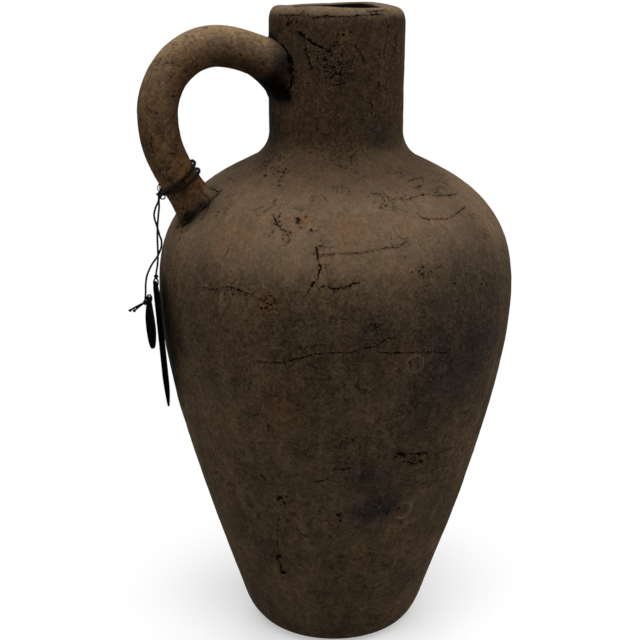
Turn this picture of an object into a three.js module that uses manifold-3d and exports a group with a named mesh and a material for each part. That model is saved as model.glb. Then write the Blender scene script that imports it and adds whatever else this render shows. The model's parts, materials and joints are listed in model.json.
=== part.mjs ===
// A hand-built earthenware jug vase with a loop handle, and two tags that hang on a cord at the handle's foot.
// Millimetres, +Z up. The origin is the middle of the flat foot. The handle stands out along -X.

import * as THREE from 'three';
import { mergeVertices } from 'three/addons/utils/BufferGeometryUtils.js';
import Module from 'manifold-3d';

const wasm = await Module();
wasm.setup();

// Clearances
const SLIP_GAP = 0.3; // layer of slip between two pieces of clay
const CORD_GAP = 0.3; // between the cord and what it meets
const TURN_GAP = 0.55; // between one turn of cord and the next

// Vessel outline: radii and heights of the outer face
const FOOT_FLAT_R = 44;
const FOOT_EDGE_R = 53.7; // where the foot's flat and the wall's line would meet
const WALL_FOOT_R = 60;
const WALL_FOOT_H = 18.6;
const WALL_FOOT_PULL = 56.8; // how far the straight lower wall carries into the belly
const BELLY_R = 111.4;
const BELLY_H = 227;
const BELLY_DROP = 56.3; // how far the belly's upright line carries down
const BELLY_RISE = 44.4; // how far it carries up
const SHOULDER_PULL = 44.2; // how far the shoulder's slope carries out
const SHOULDER_SLOPE = THREE.MathUtils.degToRad(24.8);
const NECK_R = 41.1;
const NECK_FILLET = 20;
const NECK_START_H = 326.7; // where the fillet ends and the straight neck starts
const NECK_LENGTH = 69.3; // straight neck, up to the rim coil

// Clay
const WALL = 8.5;
const FLOOR = 11;
const FLOOR_ROUND = 8; // inside corner between the floor and the wall
const SCARF = 4; // how far a section's joint face climbs towards the inside
const NECK_BORE_R = 28;
const NECK_BORE_RISE = 9; // the bore's flare ends this far under the straight neck's start
const BASE_SEAM_H = 13.5;
const FOOT_SEAM_H = 143;
const BELLY_SEAM_H = 213;
const COURSE_SEAM_H = 248;

// Rim coil
const RIM_H = 4; // the part of the coil that shows above the neck
const RIM_ROUND = 5;
const RIM_BORE_R = 24;
const RIM_LIP_ROUND = 4;
const RIM_LIP_DROP = 9; // the coil's inner face, from its top edge down
const RIM_SCARF = 7.5;

// Handle: distances out from the axis or from the neck, and drops from the top of the neck
const HANDLE_R = 12;
const HANDLE_ROOT_DROP = 27.7;
const HANDLE_ROOT_TILT = THREE.MathUtils.degToRad(27);
const HANDLE_ROOT_PULL = 13;
const HANDLE_PEAK_STANDOFF = 34.9;
const HANDLE_PEAK_DROP = 17.1;
const HANDLE_PEAK_PULL = 12;
const HANDLE_CREST_PULL = 18;
const HANDLE_STANDOFF = 70.3; // from the neck's face to the middle of the handle at its widest
const HANDLE_STANDOFF_DROP = 56;
const HANDLE_BACK_PULL = 22;
const HANDLE_FOOT_DROP = 41.7; // landing point, under the neck's start
const HANDLE_FOOT_TILT = THREE.MathUtils.degToRad(61);
const HANDLE_FOOT_PULL = 24;
const HANDLE_BITE = 16; // how far the handle's line runs on into the clay before it is trimmed

// Lutes: clay pressed round the handle's ends
const LUTE_SPREAD = 5; // beyond the handle
const LUTE_H = 6;
const LUTE_EDGE = 0.6;
const LUTE_TOP_SPREAD = 1.4;
const LUTE_SINK = 14;

// Cord and knots
const CORD_R = 0.6;
const WRAP_FROM_FOOT = 17; // along the handle, from its landing point to the wrap
const WRAP_TURNS = 2;
const WRAP_LIFTS = [6.9, 1.9]; // how far each turn rides up the inside of the handle
const WRAP_LEAVE = THREE.MathUtils.degToRad(42); // where a turn leaves the handle for the knot
const KNOT_R = 2;
const END_KNOT_R = 1.6;
const LOOP_R = 2.9; // loop of cord through a tag's hole
const END_KNOT_STANDOFF = 1.2; // from the loop's own line out to the middle of the end knot
const TAIL_BEAD_R = 1.05;
const TAILS = [
  [-8.8, -1.6, -6.2],
  [-5.2, 1.8, -8.6],
]; // from the oval tag's end knot to the tip of each tail

// Hanging strands: how far out from the axis, across and up, from the knot to the end knots
const OVAL_ROUTE = [
  [113, -0.95, 287], [114.4, -0.95, 284.4], [115.6, -0.95, 281.2], [115.8, -0.95, 278],
  [115.2, -1, 274.6], [113.8, -1, 270], [112.4, -0.75, 266], [111.7, 0, 261.8],
  [112.5, 0.8, 257.4], [114.2, 1, 253.4], [116.6, 0.95, 250.4], [119, 0.7, 247.8],
  [120.9, 0.4, 244.6], [122, 0.15, 240.8], [122.4, 0, 237.2],
];
const LONG_ROUTE = [
  [112, 0.95, 287], [112.2, 0.95, 284], [112.5, 0.95, 281], [112.8, 0.95, 277.6],
  [113.2, 1, 274], [113.5, 1, 270], [113.8, 0.8, 266.8], [113.9, 0.4, 264],
  [114, -0.2, 261], [114.2, -0.75, 257.6], [114.4, -1, 254], [114.6, -0.9, 252.2],
  [114.9, -0.6, 250.4], [115.3, -0.3, 249], [115.6, -0.1, 247.8],
];
const STRAND_ROOTS = [0.75, -0.45]; // where each strand leaves the knot, out from its middle
const STRAND_SPREAD = 0.95; // and to each side of it

// Tags
const TAG_HOLE_R = 1.8;
const TAG_MARGIN = 1.9; // between the hole and the tag's top edge
const TAG_BEVEL = 0.25;
const OVAL_TAG = { width: 24, length: 32, thickness: 1.6, hole: [120.1, 226.6], lean: 1.2 };
const LONG_TAG = { width: 12, length: 82, thickness: 1.3, hole: [115.9, 236], lean: 3.4 };
const LONG_TAG_POINT = 20; // length of the pointed end
const LONG_TAG_TOP_ROUND = 4;

// Facets
const RING_SIDES = 48;
const FOOT_STEPS = [8, 4]; // up a section's outer and inner face
const BELLY_STEPS = [5, 3];
const COURSE_STEPS = [3, 2];
const SHOULDER_STEPS = [8, 5];
const FILLET_STEPS = 6;
const FOOT_EDGE_STEPS = 5;
const FLOOR_STEPS = 3;
const FLARE_STEPS = 4;
const RIM_STEPS = [5, 4]; // round the coil's outer and inner edge
const HANDLE_SIDES = 18;
const HANDLE_STEPS = 40;
const STRAND_SIDES = 8;
const STRAND_STEPS = 22;
const WRAP_SIDES = 6;
const STEPS_PER_TURN = 24;
const LOOP_STEPS = 14;
const TAIL_STEPS = 4;
const BEAD_FACETS = [10, 6];
const OVAL_STEPS = 32;
const TAG_CURVE_STEPS = 6;
const ROUND_SHARE = 0.95; // a rounding takes at most this share of the side that it rounds
const WELD = 1e-4; // points nearer than this are one
const BISECTIONS = 50;
const CHECKS_PER_STEP = 4; // points on the wrap, between two steps, at which its gap is measured
const ONE_BEND = 0.75; // points nearer along the wrap than this share of a turn are one bend

// Colours and finish
const WALL_BROWN = 0x4a3c2e;
const SHOULDER_BROWN = 0x5a4a39;
const NECK_BROWN = 0x463a2e;
const HANDLE_BROWN = 0x5b4530;
const CORD_BLACK = 0x14110f;
const TAG_BLACK = 0x191817;
const CLAY_ROUGHNESS = 0.85;
const CORD_ROUGHNESS = 0.7;
const TAG_ROUGHNESS = 0.55;

const NECK_TOP_H = NECK_START_H + NECK_LENGTH;
const JUG_H = NECK_TOP_H + RIM_H;
const CORD_D = 2 * CORD_R;

// The outer face from the foot's flat to the top of the neck, in (radius, height)

function outerFace() {
  const wall = new THREE.Vector2(WALL_FOOT_R - FOOT_EDGE_R, WALL_FOOT_H).normalize();
  const slope = new THREE.Vector2(Math.cos(SHOULDER_SLOPE), -Math.sin(SHOULDER_SLOPE));
  const fillet = new THREE.Vector2(NECK_R + NECK_FILLET, NECK_START_H);
  const foot = new THREE.Vector2(WALL_FOOT_R, WALL_FOOT_H);
  const belly = new THREE.Vector2(BELLY_R, BELLY_H);
  const shoulder = new THREE.Vector2(
    fillet.x - NECK_FILLET * Math.sin(SHOULDER_SLOPE),
    fillet.y - NECK_FILLET * Math.cos(SHOULDER_SLOPE),
  );
  const face = new THREE.CurvePath();
  face.add(new THREE.QuadraticBezierCurve(
    new THREE.Vector2(FOOT_FLAT_R, 0), new THREE.Vector2(FOOT_EDGE_R, 0), foot,
  ));
  face.add(new THREE.CubicBezierCurve(
    foot, foot.clone().addScaledVector(wall, WALL_FOOT_PULL),
    new THREE.Vector2(BELLY_R, BELLY_H - BELLY_DROP), belly,
  ));
  face.add(new THREE.CubicBezierCurve(
    belly, new THREE.Vector2(BELLY_R, BELLY_H + BELLY_RISE),
    shoulder.clone().addScaledVector(slope, SHOULDER_PULL), shoulder,
  ));
  const shoulderAngle = 1.5 * Math.PI - SHOULDER_SLOPE;
  face.add(new THREE.EllipseCurve(
    fillet.x, fillet.y, NECK_FILLET, NECK_FILLET, shoulderAngle, Math.PI, true,
  ));
  face.add(new THREE.LineCurve(
    new THREE.Vector2(NECK_R, NECK_START_H), new THREE.Vector2(NECK_R, NECK_TOP_H),
  ));
  return { face, shoulderH: shoulder.y };
}

const { face: FACE, shoulderH: NECK_SEAM_H } = outerFace();
const FACE_LENGTH = FACE.getLength();

// Share of the outer face's length at which it reaches a height
function shareAt(height) {
  let low = 0;
  let high = 1;
  for (let i = 0; i < BISECTIONS; i += 1) {
    const middle = (low + high) / 2;
    if (FACE.getPoint(middle).y < height) low = middle;
    else high = middle;
  }
  return (low + high) / 2;
}

// A point of the outer face, set in by a depth along the face's normal
function facePoint(share, depth = 0) {
  const point = FACE.getPoint(share);
  const along = FACE.getTangent(share);
  return new THREE.Vector2(point.x - depth * along.y, point.y + depth * along.x);
}

function facePoints(from, to, steps, depth = 0) {
  return Array.from({ length: steps + 1 }, (_, i) => facePoint(from + ((to - from) * i) / steps, depth));
}

// Points of a round corner between two lines that meet at a corner point
function roundCorner(before, corner, after, radius, steps) {
  const inward = before.clone().sub(corner).normalize();
  const onward = after.clone().sub(corner).normalize();
  const half = Math.acos(THREE.MathUtils.clamp(inward.dot(onward), -1, 1)) / 2;
  const reach = radius / Math.tan(half);
  const curve = new THREE.QuadraticBezierCurve(
    corner.clone().addScaledVector(inward, reach), corner, corner.clone().addScaledVector(onward, reach),
  );
  return curve.getPoints(steps);
}

// Solids

function toSolid(geometry) {
  const bare = geometry.clone();
  bare.deleteAttribute('normal');
  bare.deleteAttribute('uv');
  const merged = mergeVertices(bare, WELD);
  return new wasm.Manifold(new wasm.Mesh({
    numProp: 3,
    vertProperties: new Float32Array(merged.attributes.position.array),
    triVerts: new Uint32Array(merged.index.array),
  }));
}

function toGeometry(solid) {
  const mesh = solid.getMesh();
  const geometry = new THREE.BufferGeometry();
  geometry.setAttribute('position', new THREE.BufferAttribute(new Float32Array(mesh.vertProperties), 3));
  geometry.setIndex(new THREE.BufferAttribute(new Uint32Array(mesh.triVerts), 1));
  geometry.computeVertexNormals();
  return geometry;
}

// A turned body about +Z. The outline runs up the outside, and starts and ends on the axis or closes on itself.
function turned(outline, sides = RING_SIDES) {
  return new THREE.LatheGeometry(outline, sides).rotateX(Math.PI / 2);
}

function ring(outline, sides = RING_SIDES) {
  return turned([...outline, outline[0]], sides);
}

function roundSection(radius, sides) {
  const middle = new THREE.Vector2();
  const corner = (i) => new THREE.Vector2(radius, 0).rotateAround(middle, (2 * Math.PI * i) / sides);
  return new THREE.Shape(Array.from({ length: sides }, (_, i) => corner(i)));
}

function tube(path, radius, sides, steps) {
  return new THREE.ExtrudeGeometry(roundSection(radius, sides), { steps, extrudePath: path });
}

// Out from the axis on the handle's side, across and up
function handleSide(out, across, up) {
  return new THREE.Vector3(-out, across, up);
}

// Vessel pieces

const SEAMS = {
  base: shareAt(BASE_SEAM_H),
  foot: shareAt(FOOT_SEAM_H),
  belly: shareAt(BELLY_SEAM_H),
  course: shareAt(COURSE_SEAM_H),
  neck: shareAt(NECK_SEAM_H),
  straight: shareAt(NECK_START_H),
};
// Wall sections from the foot up, each between two seams
const SECTIONS = [
  { name: 'foot_wall', from: SEAMS.base, to: SEAMS.foot, steps: FOOT_STEPS, color: WALL_BROWN },
  { name: 'belly_wall', from: SEAMS.foot, to: SEAMS.belly, steps: BELLY_STEPS, color: WALL_BROWN },
  { name: 'belly_course', from: SEAMS.belly, to: SEAMS.course, steps: COURSE_STEPS, color: WALL_BROWN },
  { name: 'shoulder_wall', from: SEAMS.course, to: SEAMS.neck, steps: SHOULDER_STEPS, color: SHOULDER_BROWN },
];
const SLIP_SHARE = SLIP_GAP / FACE_LENGTH;
const SCARF_SHARE = SCARF / FACE_LENGTH;

function baseSlab() {
  const inside = facePoint(SEAMS.base + SCARF_SHARE, WALL);
  const corner = new THREE.Vector2(inside.x, FLOOR);
  const middle = new THREE.Vector2(0, FLOOR);
  const round = Math.min(FLOOR_ROUND, (inside.y - FLOOR) * ROUND_SHARE);
  return turned([
    new THREE.Vector2(0, 0),
    ...facePoints(0, SEAMS.base, FOOT_EDGE_STEPS),
    inside,
    ...roundCorner(inside, corner, middle, round, FLOOR_STEPS),
    middle,
  ]);
}

function wallSection({ from, to, steps }) {
  const start = from + SLIP_SHARE;
  return ring([
    ...facePoints(start, to, steps[0]),
    ...facePoints(start + SCARF_SHARE, to + SCARF_SHARE, steps[1], WALL).reverse(),
  ]);
}

function neckPiece() {
  const start = SEAMS.neck + SLIP_SHARE;
  const flareTop = new THREE.Vector2(NECK_BORE_R, NECK_START_H - NECK_BORE_RISE);
  const flareFoot = facePoint(start + SCARF_SHARE, WALL);
  const flare = new THREE.QuadraticBezierCurve(
    flareTop, new THREE.Vector2(NECK_BORE_R, (flareTop.y + flareFoot.y) / 2), flareFoot,
  );
  return ring([
    ...facePoints(start, SEAMS.straight, FILLET_STEPS),
    new THREE.Vector2(NECK_R, NECK_TOP_H),
    new THREE.Vector2(NECK_BORE_R, NECK_TOP_H - RIM_SCARF),
    ...flare.getPoints(FLARE_STEPS),
  ]);
}

function rimCoil() {
  const seat = NECK_TOP_H + SLIP_GAP;
  const outerTop = new THREE.Vector2(NECK_R, JUG_H);
  const innerTop = new THREE.Vector2(RIM_BORE_R, JUG_H);
  const outerFoot = new THREE.Vector2(NECK_R, seat);
  const lipFoot = new THREE.Vector2(RIM_BORE_R, JUG_H - RIM_LIP_DROP);
  const outerRound = Math.min(RIM_ROUND, (JUG_H - seat) * ROUND_SHARE);
  return ring([
    outerFoot,
    ...roundCorner(outerFoot, outerTop, innerTop, outerRound, RIM_STEPS[0]),
    ...roundCorner(outerTop, innerTop, lipFoot, RIM_LIP_ROUND, RIM_STEPS[1]),
    lipFoot,
    new THREE.Vector2(NECK_BORE_R, seat - RIM_SCARF),
  ]);
}

// The vessel as one closed body, grown by a gap, for trimming what is luted to its outside
function envelope(gap) {
  return toSolid(turned([
    new THREE.Vector2(0, BASE_SEAM_H),
    ...SECTIONS.flatMap(({ from, to, steps }) => facePoints(from + SLIP_SHARE, to, steps[0], -gap)),
    ...facePoints(SEAMS.neck + SLIP_SHARE, SEAMS.straight, FILLET_STEPS, -gap),
    new THREE.Vector2(NECK_R + gap, NECK_TOP_H),
    new THREE.Vector2(0, NECK_TOP_H),
  ]));
}

// Handle

function handleLine() {
  const at = (out, up) => handleSide(out, 0, up);
  const lean = (angle) => at(Math.cos(angle), Math.sin(angle));
  const root = at(NECK_R, NECK_TOP_H - HANDLE_ROOT_DROP);
  const peak = at(NECK_R + HANDLE_PEAK_STANDOFF, NECK_TOP_H - HANDLE_PEAK_DROP);
  const back = at(NECK_R + HANDLE_STANDOFF, NECK_TOP_H - HANDLE_STANDOFF_DROP);
  const landing = FACE.getPoint(shareAt(NECK_START_H - HANDLE_FOOT_DROP));
  const foot = at(landing.x, landing.y);
  const rootWay = lean(HANDLE_ROOT_TILT);
  const footWay = lean(HANDLE_FOOT_TILT);
  const outward = at(1, 0);
  const upward = at(0, 1);
  const from = (point, way, length) => point.clone().addScaledVector(way, length);
  const line = new THREE.CurvePath();
  line.add(new THREE.LineCurve3(from(root, rootWay, -HANDLE_BITE), root));
  line.add(new THREE.CubicBezierCurve3(
    root, from(root, rootWay, HANDLE_ROOT_PULL), from(peak, outward, -HANDLE_PEAK_PULL), peak,
  ));
  line.add(new THREE.CubicBezierCurve3(
    peak, from(peak, outward, HANDLE_CREST_PULL), from(back, upward, HANDLE_BACK_PULL), back,
  ));
  line.add(new THREE.CubicBezierCurve3(
    back, from(back, upward, -HANDLE_BACK_PULL), from(foot, footWay, HANDLE_FOOT_PULL), foot,
  ));
  line.add(new THREE.LineCurve3(foot, from(foot, footWay, -HANDLE_BITE)));
  return { line, root, foot };
}

const { line: HANDLE_LINE, root: HANDLE_ROOT, foot: HANDLE_FOOT } = handleLine();
const HANDLE_LENGTH = HANDLE_LINE.getLength();

function handleTube(grow) {
  return toSolid(tube(HANDLE_LINE, HANDLE_R + grow, HANDLE_SIDES, HANDLE_STEPS));
}

function handlePiece() {
  return toGeometry(handleTube(0).subtract(envelope(SLIP_GAP)));
}

// Clay pressed round one end of the handle, square to the vessel's face there
function lutePiece(point, normal) {
  const spread = HANDLE_R + LUTE_SPREAD;
  const cake = turned([
    new THREE.Vector2(0, -LUTE_SINK),
    new THREE.Vector2(spread, -LUTE_SINK),
    new THREE.Vector2(spread, LUTE_EDGE),
    new THREE.Vector2(HANDLE_R + LUTE_TOP_SPREAD, LUTE_H),
    new THREE.Vector2(0, LUTE_H),
  ], 2 * HANDLE_SIDES);
  const turn = new THREE.Quaternion().setFromUnitVectors(new THREE.Vector3(0, 0, 1), normal);
  cake.applyQuaternion(turn).translate(point.x, point.y, point.z);
  return toGeometry(toSolid(cake).subtract(envelope(SLIP_GAP)).subtract(handleTube(SLIP_GAP)));
}

function footNormal() {
  const along = FACE.getTangent(shareAt(NECK_START_H - HANDLE_FOOT_DROP));
  return handleSide(along.y, 0, -along.x);
}

// Cord

// Place on the handle's line, with the directions away from the finger gap and up the handle
function handlePlace(fromFoot) {
  const share = 1 - (HANDLE_BITE + fromFoot) / HANDLE_LENGTH;
  const up = HANDLE_LINE.getTangent(share).negate();
  const away = new THREE.Vector3(-up.z, 0, up.x);
  return { middle: HANDLE_LINE.getPoint(share), up, away };
}

const KNOT_OFF = HANDLE_R + CORD_GAP + CORD_D + TURN_GAP + KNOT_R;
const ACROSS = new THREE.Vector3(0, -1, 0); // the way in which the wrap sets off round the handle

function aroundHandle(lift, away, across) {
  const place = handlePlace(WRAP_FROM_FOOT + lift);
  return place.middle.addScaledVector(place.away, away).addScaledVector(ACROSS, across);
}

const KNOT_PLACE = aroundHandle(0, KNOT_OFF, 0);

// The wrap starts at one side of the knot, goes twice round the handle under it, and ends at its other side
function wrapLine() {
  const pitch = CORD_D + TURN_GAP;
  const turnR = HANDLE_R + CORD_GAP + CORD_R;
  const climb = (angle) => {
    const turn = Math.min(Math.floor(angle / (2 * Math.PI)), WRAP_TURNS - 1);
    const drift = pitch * (WRAP_TURNS / 2 - angle / (2 * Math.PI));
    return drift + (WRAP_LIFTS[turn] * (1 - Math.cos(angle))) / 2;
  };
  const side = KNOT_R + CORD_GAP;
  const leave = (sign, run) => aroundHandle((sign * pitch) / 2, KNOT_OFF, sign * (side + run));
  const last = 2 * Math.PI * WRAP_TURNS - WRAP_LEAVE;
  const steps = Math.round(((last - WRAP_LEAVE) / (2 * Math.PI)) * STEPS_PER_TURN);
  const points = [leave(1, 0), leave(1, CORD_D)];
  for (let i = 0; i <= steps; i += 1) {
    const angle = WRAP_LEAVE + ((last - WRAP_LEAVE) * i) / steps;
    points.push(aroundHandle(climb(angle), turnR * Math.cos(angle), turnR * Math.sin(angle)));
  }
  points.push(leave(-1, CORD_D), leave(-1, 0));
  return new THREE.CatmullRomCurve3(points);
}

function wrapPiece() {
  const line = wrapLine();
  const steps = WRAP_TURNS * STEPS_PER_TURN;
  const points = line.getSpacedPoints(CHECKS_PER_STEP * steps);
  const apart = ONE_BEND * CHECKS_PER_STEP * STEPS_PER_TURN;
  let least = Infinity;
  points.forEach((point, i) => {
    points.slice(i + apart).forEach((other) => {
      least = Math.min(least, point.distanceTo(other));
    });
  });
  console.log(`cord_wrap: least gap to itself ${(least - CORD_D).toFixed(2)} mm`);
  return tube(line, CORD_R, WRAP_SIDES, steps);
}

function bead(radius, place, stretch = 1) {
  return new THREE.SphereGeometry(radius, ...BEAD_FACETS).rotateX(Math.PI / 2).scale(1, 1, stretch)
    .translate(place.x, place.y, place.z);
}

function knotPiece() {
  return bead(KNOT_R, KNOT_PLACE);
}

// A strand starts straight under the knot and ends square on its end knot
function strandPiece(route, root, across, endKnot) {
  const foot = Math.sqrt(KNOT_R ** 2 - root ** 2 - across ** 2);
  const start = KNOT_PLACE.clone().add(handleSide(root, across, -foot - CORD_GAP - CORD_R));
  const end = endKnot.clone().add(new THREE.Vector3(0, 0, END_KNOT_R + CORD_GAP));
  const line = new THREE.CatmullRomCurve3([
    start,
    ...route.map((point) => handleSide(...point)),
    end.clone().add(new THREE.Vector3(0, 0, CORD_D)),
    end,
  ]);
  return tube(line, CORD_R, STRAND_SIDES, STRAND_STEPS);
}

// Tags, each about its own hole, with its face square to the way out from the axis

function ovalOutline(tag) {
  const middle = TAG_HOLE_R + TAG_MARGIN - tag.length / 2;
  return new THREE.Shape(
    new THREE.EllipseCurve(0, middle, tag.width / 2, tag.length / 2).getPoints(OVAL_STEPS).slice(0, -1),
  );
}

function longOutline(tag) {
  const half = tag.width / 2;
  const top = TAG_HOLE_R + TAG_MARGIN;
  const shoulder = top - tag.length + LONG_TAG_POINT;
  const outline = new THREE.Shape();
  outline.moveTo(half - LONG_TAG_TOP_ROUND, top);
  outline.lineTo(LONG_TAG_TOP_ROUND - half, top);
  outline.quadraticCurveTo(-half, top, -half, top - LONG_TAG_TOP_ROUND);
  outline.lineTo(-half, shoulder);
  outline.quadraticCurveTo(-half, shoulder - LONG_TAG_POINT / 2, 0, top - tag.length);
  outline.quadraticCurveTo(half, shoulder - LONG_TAG_POINT / 2, half, shoulder);
  outline.lineTo(half, top - LONG_TAG_TOP_ROUND);
  outline.quadraticCurveTo(half, top, half - LONG_TAG_TOP_ROUND, top);
  return outline;
}

function tagPiece(tag, outline) {
  const hole = new THREE.Path();
  hole.absarc(0, 0, TAG_HOLE_R + TAG_BEVEL, 0, 2 * Math.PI, true);
  outline.holes.push(hole);
  const depth = tag.thickness - 2 * TAG_BEVEL;
  const plate = new THREE.ExtrudeGeometry(outline, {
    depth, steps: 1, curveSegments: TAG_CURVE_STEPS, bevelEnabled: true, bevelSegments: 1,
    bevelThickness: TAG_BEVEL, bevelSize: TAG_BEVEL, bevelOffset: -TAG_BEVEL,
  });
  plate.translate(0, 0, -depth / 2);
  plate.rotateX(Math.PI / 2).rotateZ(Math.PI / 2);
  return plate;
}

function tagPlace(tag) {
  return handleSide(tag.hole[0], 0, tag.hole[1]);
}

// A loop of cord stands through a tag's hole and over its top edge
function loopMiddle(tag) {
  return tagPlace(tag).add(new THREE.Vector3(0, 0, LOOP_R));
}

function tagLoop(tag) {
  const middle = loopMiddle(tag);
  return toSolid(
    new THREE.TorusGeometry(LOOP_R, CORD_R, WRAP_SIDES, LOOP_STEPS).rotateX(Math.PI / 2)
      .translate(middle.x, middle.y, middle.z),
  );
}

// The oval tag's end knot lies outside the tag, and the long tag's above it
const OVAL_KNOT_PLACE = loopMiddle(OVAL_TAG).add(handleSide(LOOP_R + END_KNOT_STANDOFF, 0, 0));
const LONG_KNOT_PLACE = loopMiddle(LONG_TAG).add(handleSide(0, 0, LOOP_R + END_KNOT_STANDOFF));

function ovalKnotPiece() {
  let knot = toSolid(bead(END_KNOT_R, OVAL_KNOT_PLACE)).add(tagLoop(OVAL_TAG));
  TAILS.forEach((way) => {
    const tip = OVAL_KNOT_PLACE.clone().add(new THREE.Vector3(...way));
    const bow = OVAL_KNOT_PLACE.clone().lerp(tip, 0.5).add(new THREE.Vector3(0, 0, CORD_R));
    const tail = new THREE.QuadraticBezierCurve3(OVAL_KNOT_PLACE, bow, tip);
    knot = knot.add(toSolid(tube(tail, CORD_R, STRAND_SIDES, TAIL_STEPS))).add(toSolid(bead(TAIL_BEAD_R, tip)));
  });
  return toGeometry(knot);
}

function longKnotPiece() {
  return toGeometry(toSolid(bead(END_KNOT_R, LONG_KNOT_PLACE)).add(tagLoop(LONG_TAG)));
}

// The jug

const jug = new THREE.Group();

function addPiece(name, geometry, color, roughness, metalness = 0) {
  const material = new THREE.MeshStandardMaterial({ color, roughness, metalness });
  const mesh = new THREE.Mesh(geometry, material);
  mesh.name = name;
  jug.add(mesh);
  return mesh;
}

addPiece('base_slab', baseSlab(), WALL_BROWN, CLAY_ROUGHNESS);
SECTIONS.forEach((section) => {
  addPiece(section.name, wallSection(section), section.color, CLAY_ROUGHNESS);
});
addPiece('neck', neckPiece(), NECK_BROWN, CLAY_ROUGHNESS);
addPiece('rim_coil', rimCoil(), SHOULDER_BROWN, CLAY_ROUGHNESS);
addPiece('handle', handlePiece(), HANDLE_BROWN, CLAY_ROUGHNESS);
addPiece('handle_head_lute', lutePiece(HANDLE_ROOT, handleSide(1, 0, 0)), NECK_BROWN, CLAY_ROUGHNESS);
addPiece('handle_foot_lute', lutePiece(HANDLE_FOOT, footNormal()), HANDLE_BROWN, CLAY_ROUGHNESS);

addPiece('cord_wrap', wrapPiece(), CORD_BLACK, CORD_ROUGHNESS);
addPiece('cord_knot', knotPiece(), CORD_BLACK, CORD_ROUGHNESS);
addPiece(
  'oval_tag_cord', strandPiece(OVAL_ROUTE, STRAND_ROOTS[0], -STRAND_SPREAD, OVAL_KNOT_PLACE),
  CORD_BLACK, CORD_ROUGHNESS,
);
addPiece('oval_tag_knot', ovalKnotPiece(), CORD_BLACK, CORD_ROUGHNESS);
addPiece(
  'long_tag_cord', strandPiece(LONG_ROUTE, STRAND_ROOTS[1], STRAND_SPREAD, LONG_KNOT_PLACE),
  CORD_BLACK, CORD_ROUGHNESS,
);
addPiece('long_tag_knot', longKnotPiece(), CORD_BLACK, CORD_ROUGHNESS);

const hangTag = (name, tag, outline) => {
  const mesh = addPiece(name, tagPiece(tag, outline), TAG_BLACK, TAG_ROUGHNESS);
  mesh.position.copy(tagPlace(tag));
  mesh.rotation.y = -THREE.MathUtils.degToRad(tag.lean);
};
hangTag('oval_tag', OVAL_TAG, ovalOutline(OVAL_TAG));
hangTag('long_tag', LONG_TAG, longOutline(LONG_TAG));

export default jug;
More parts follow.
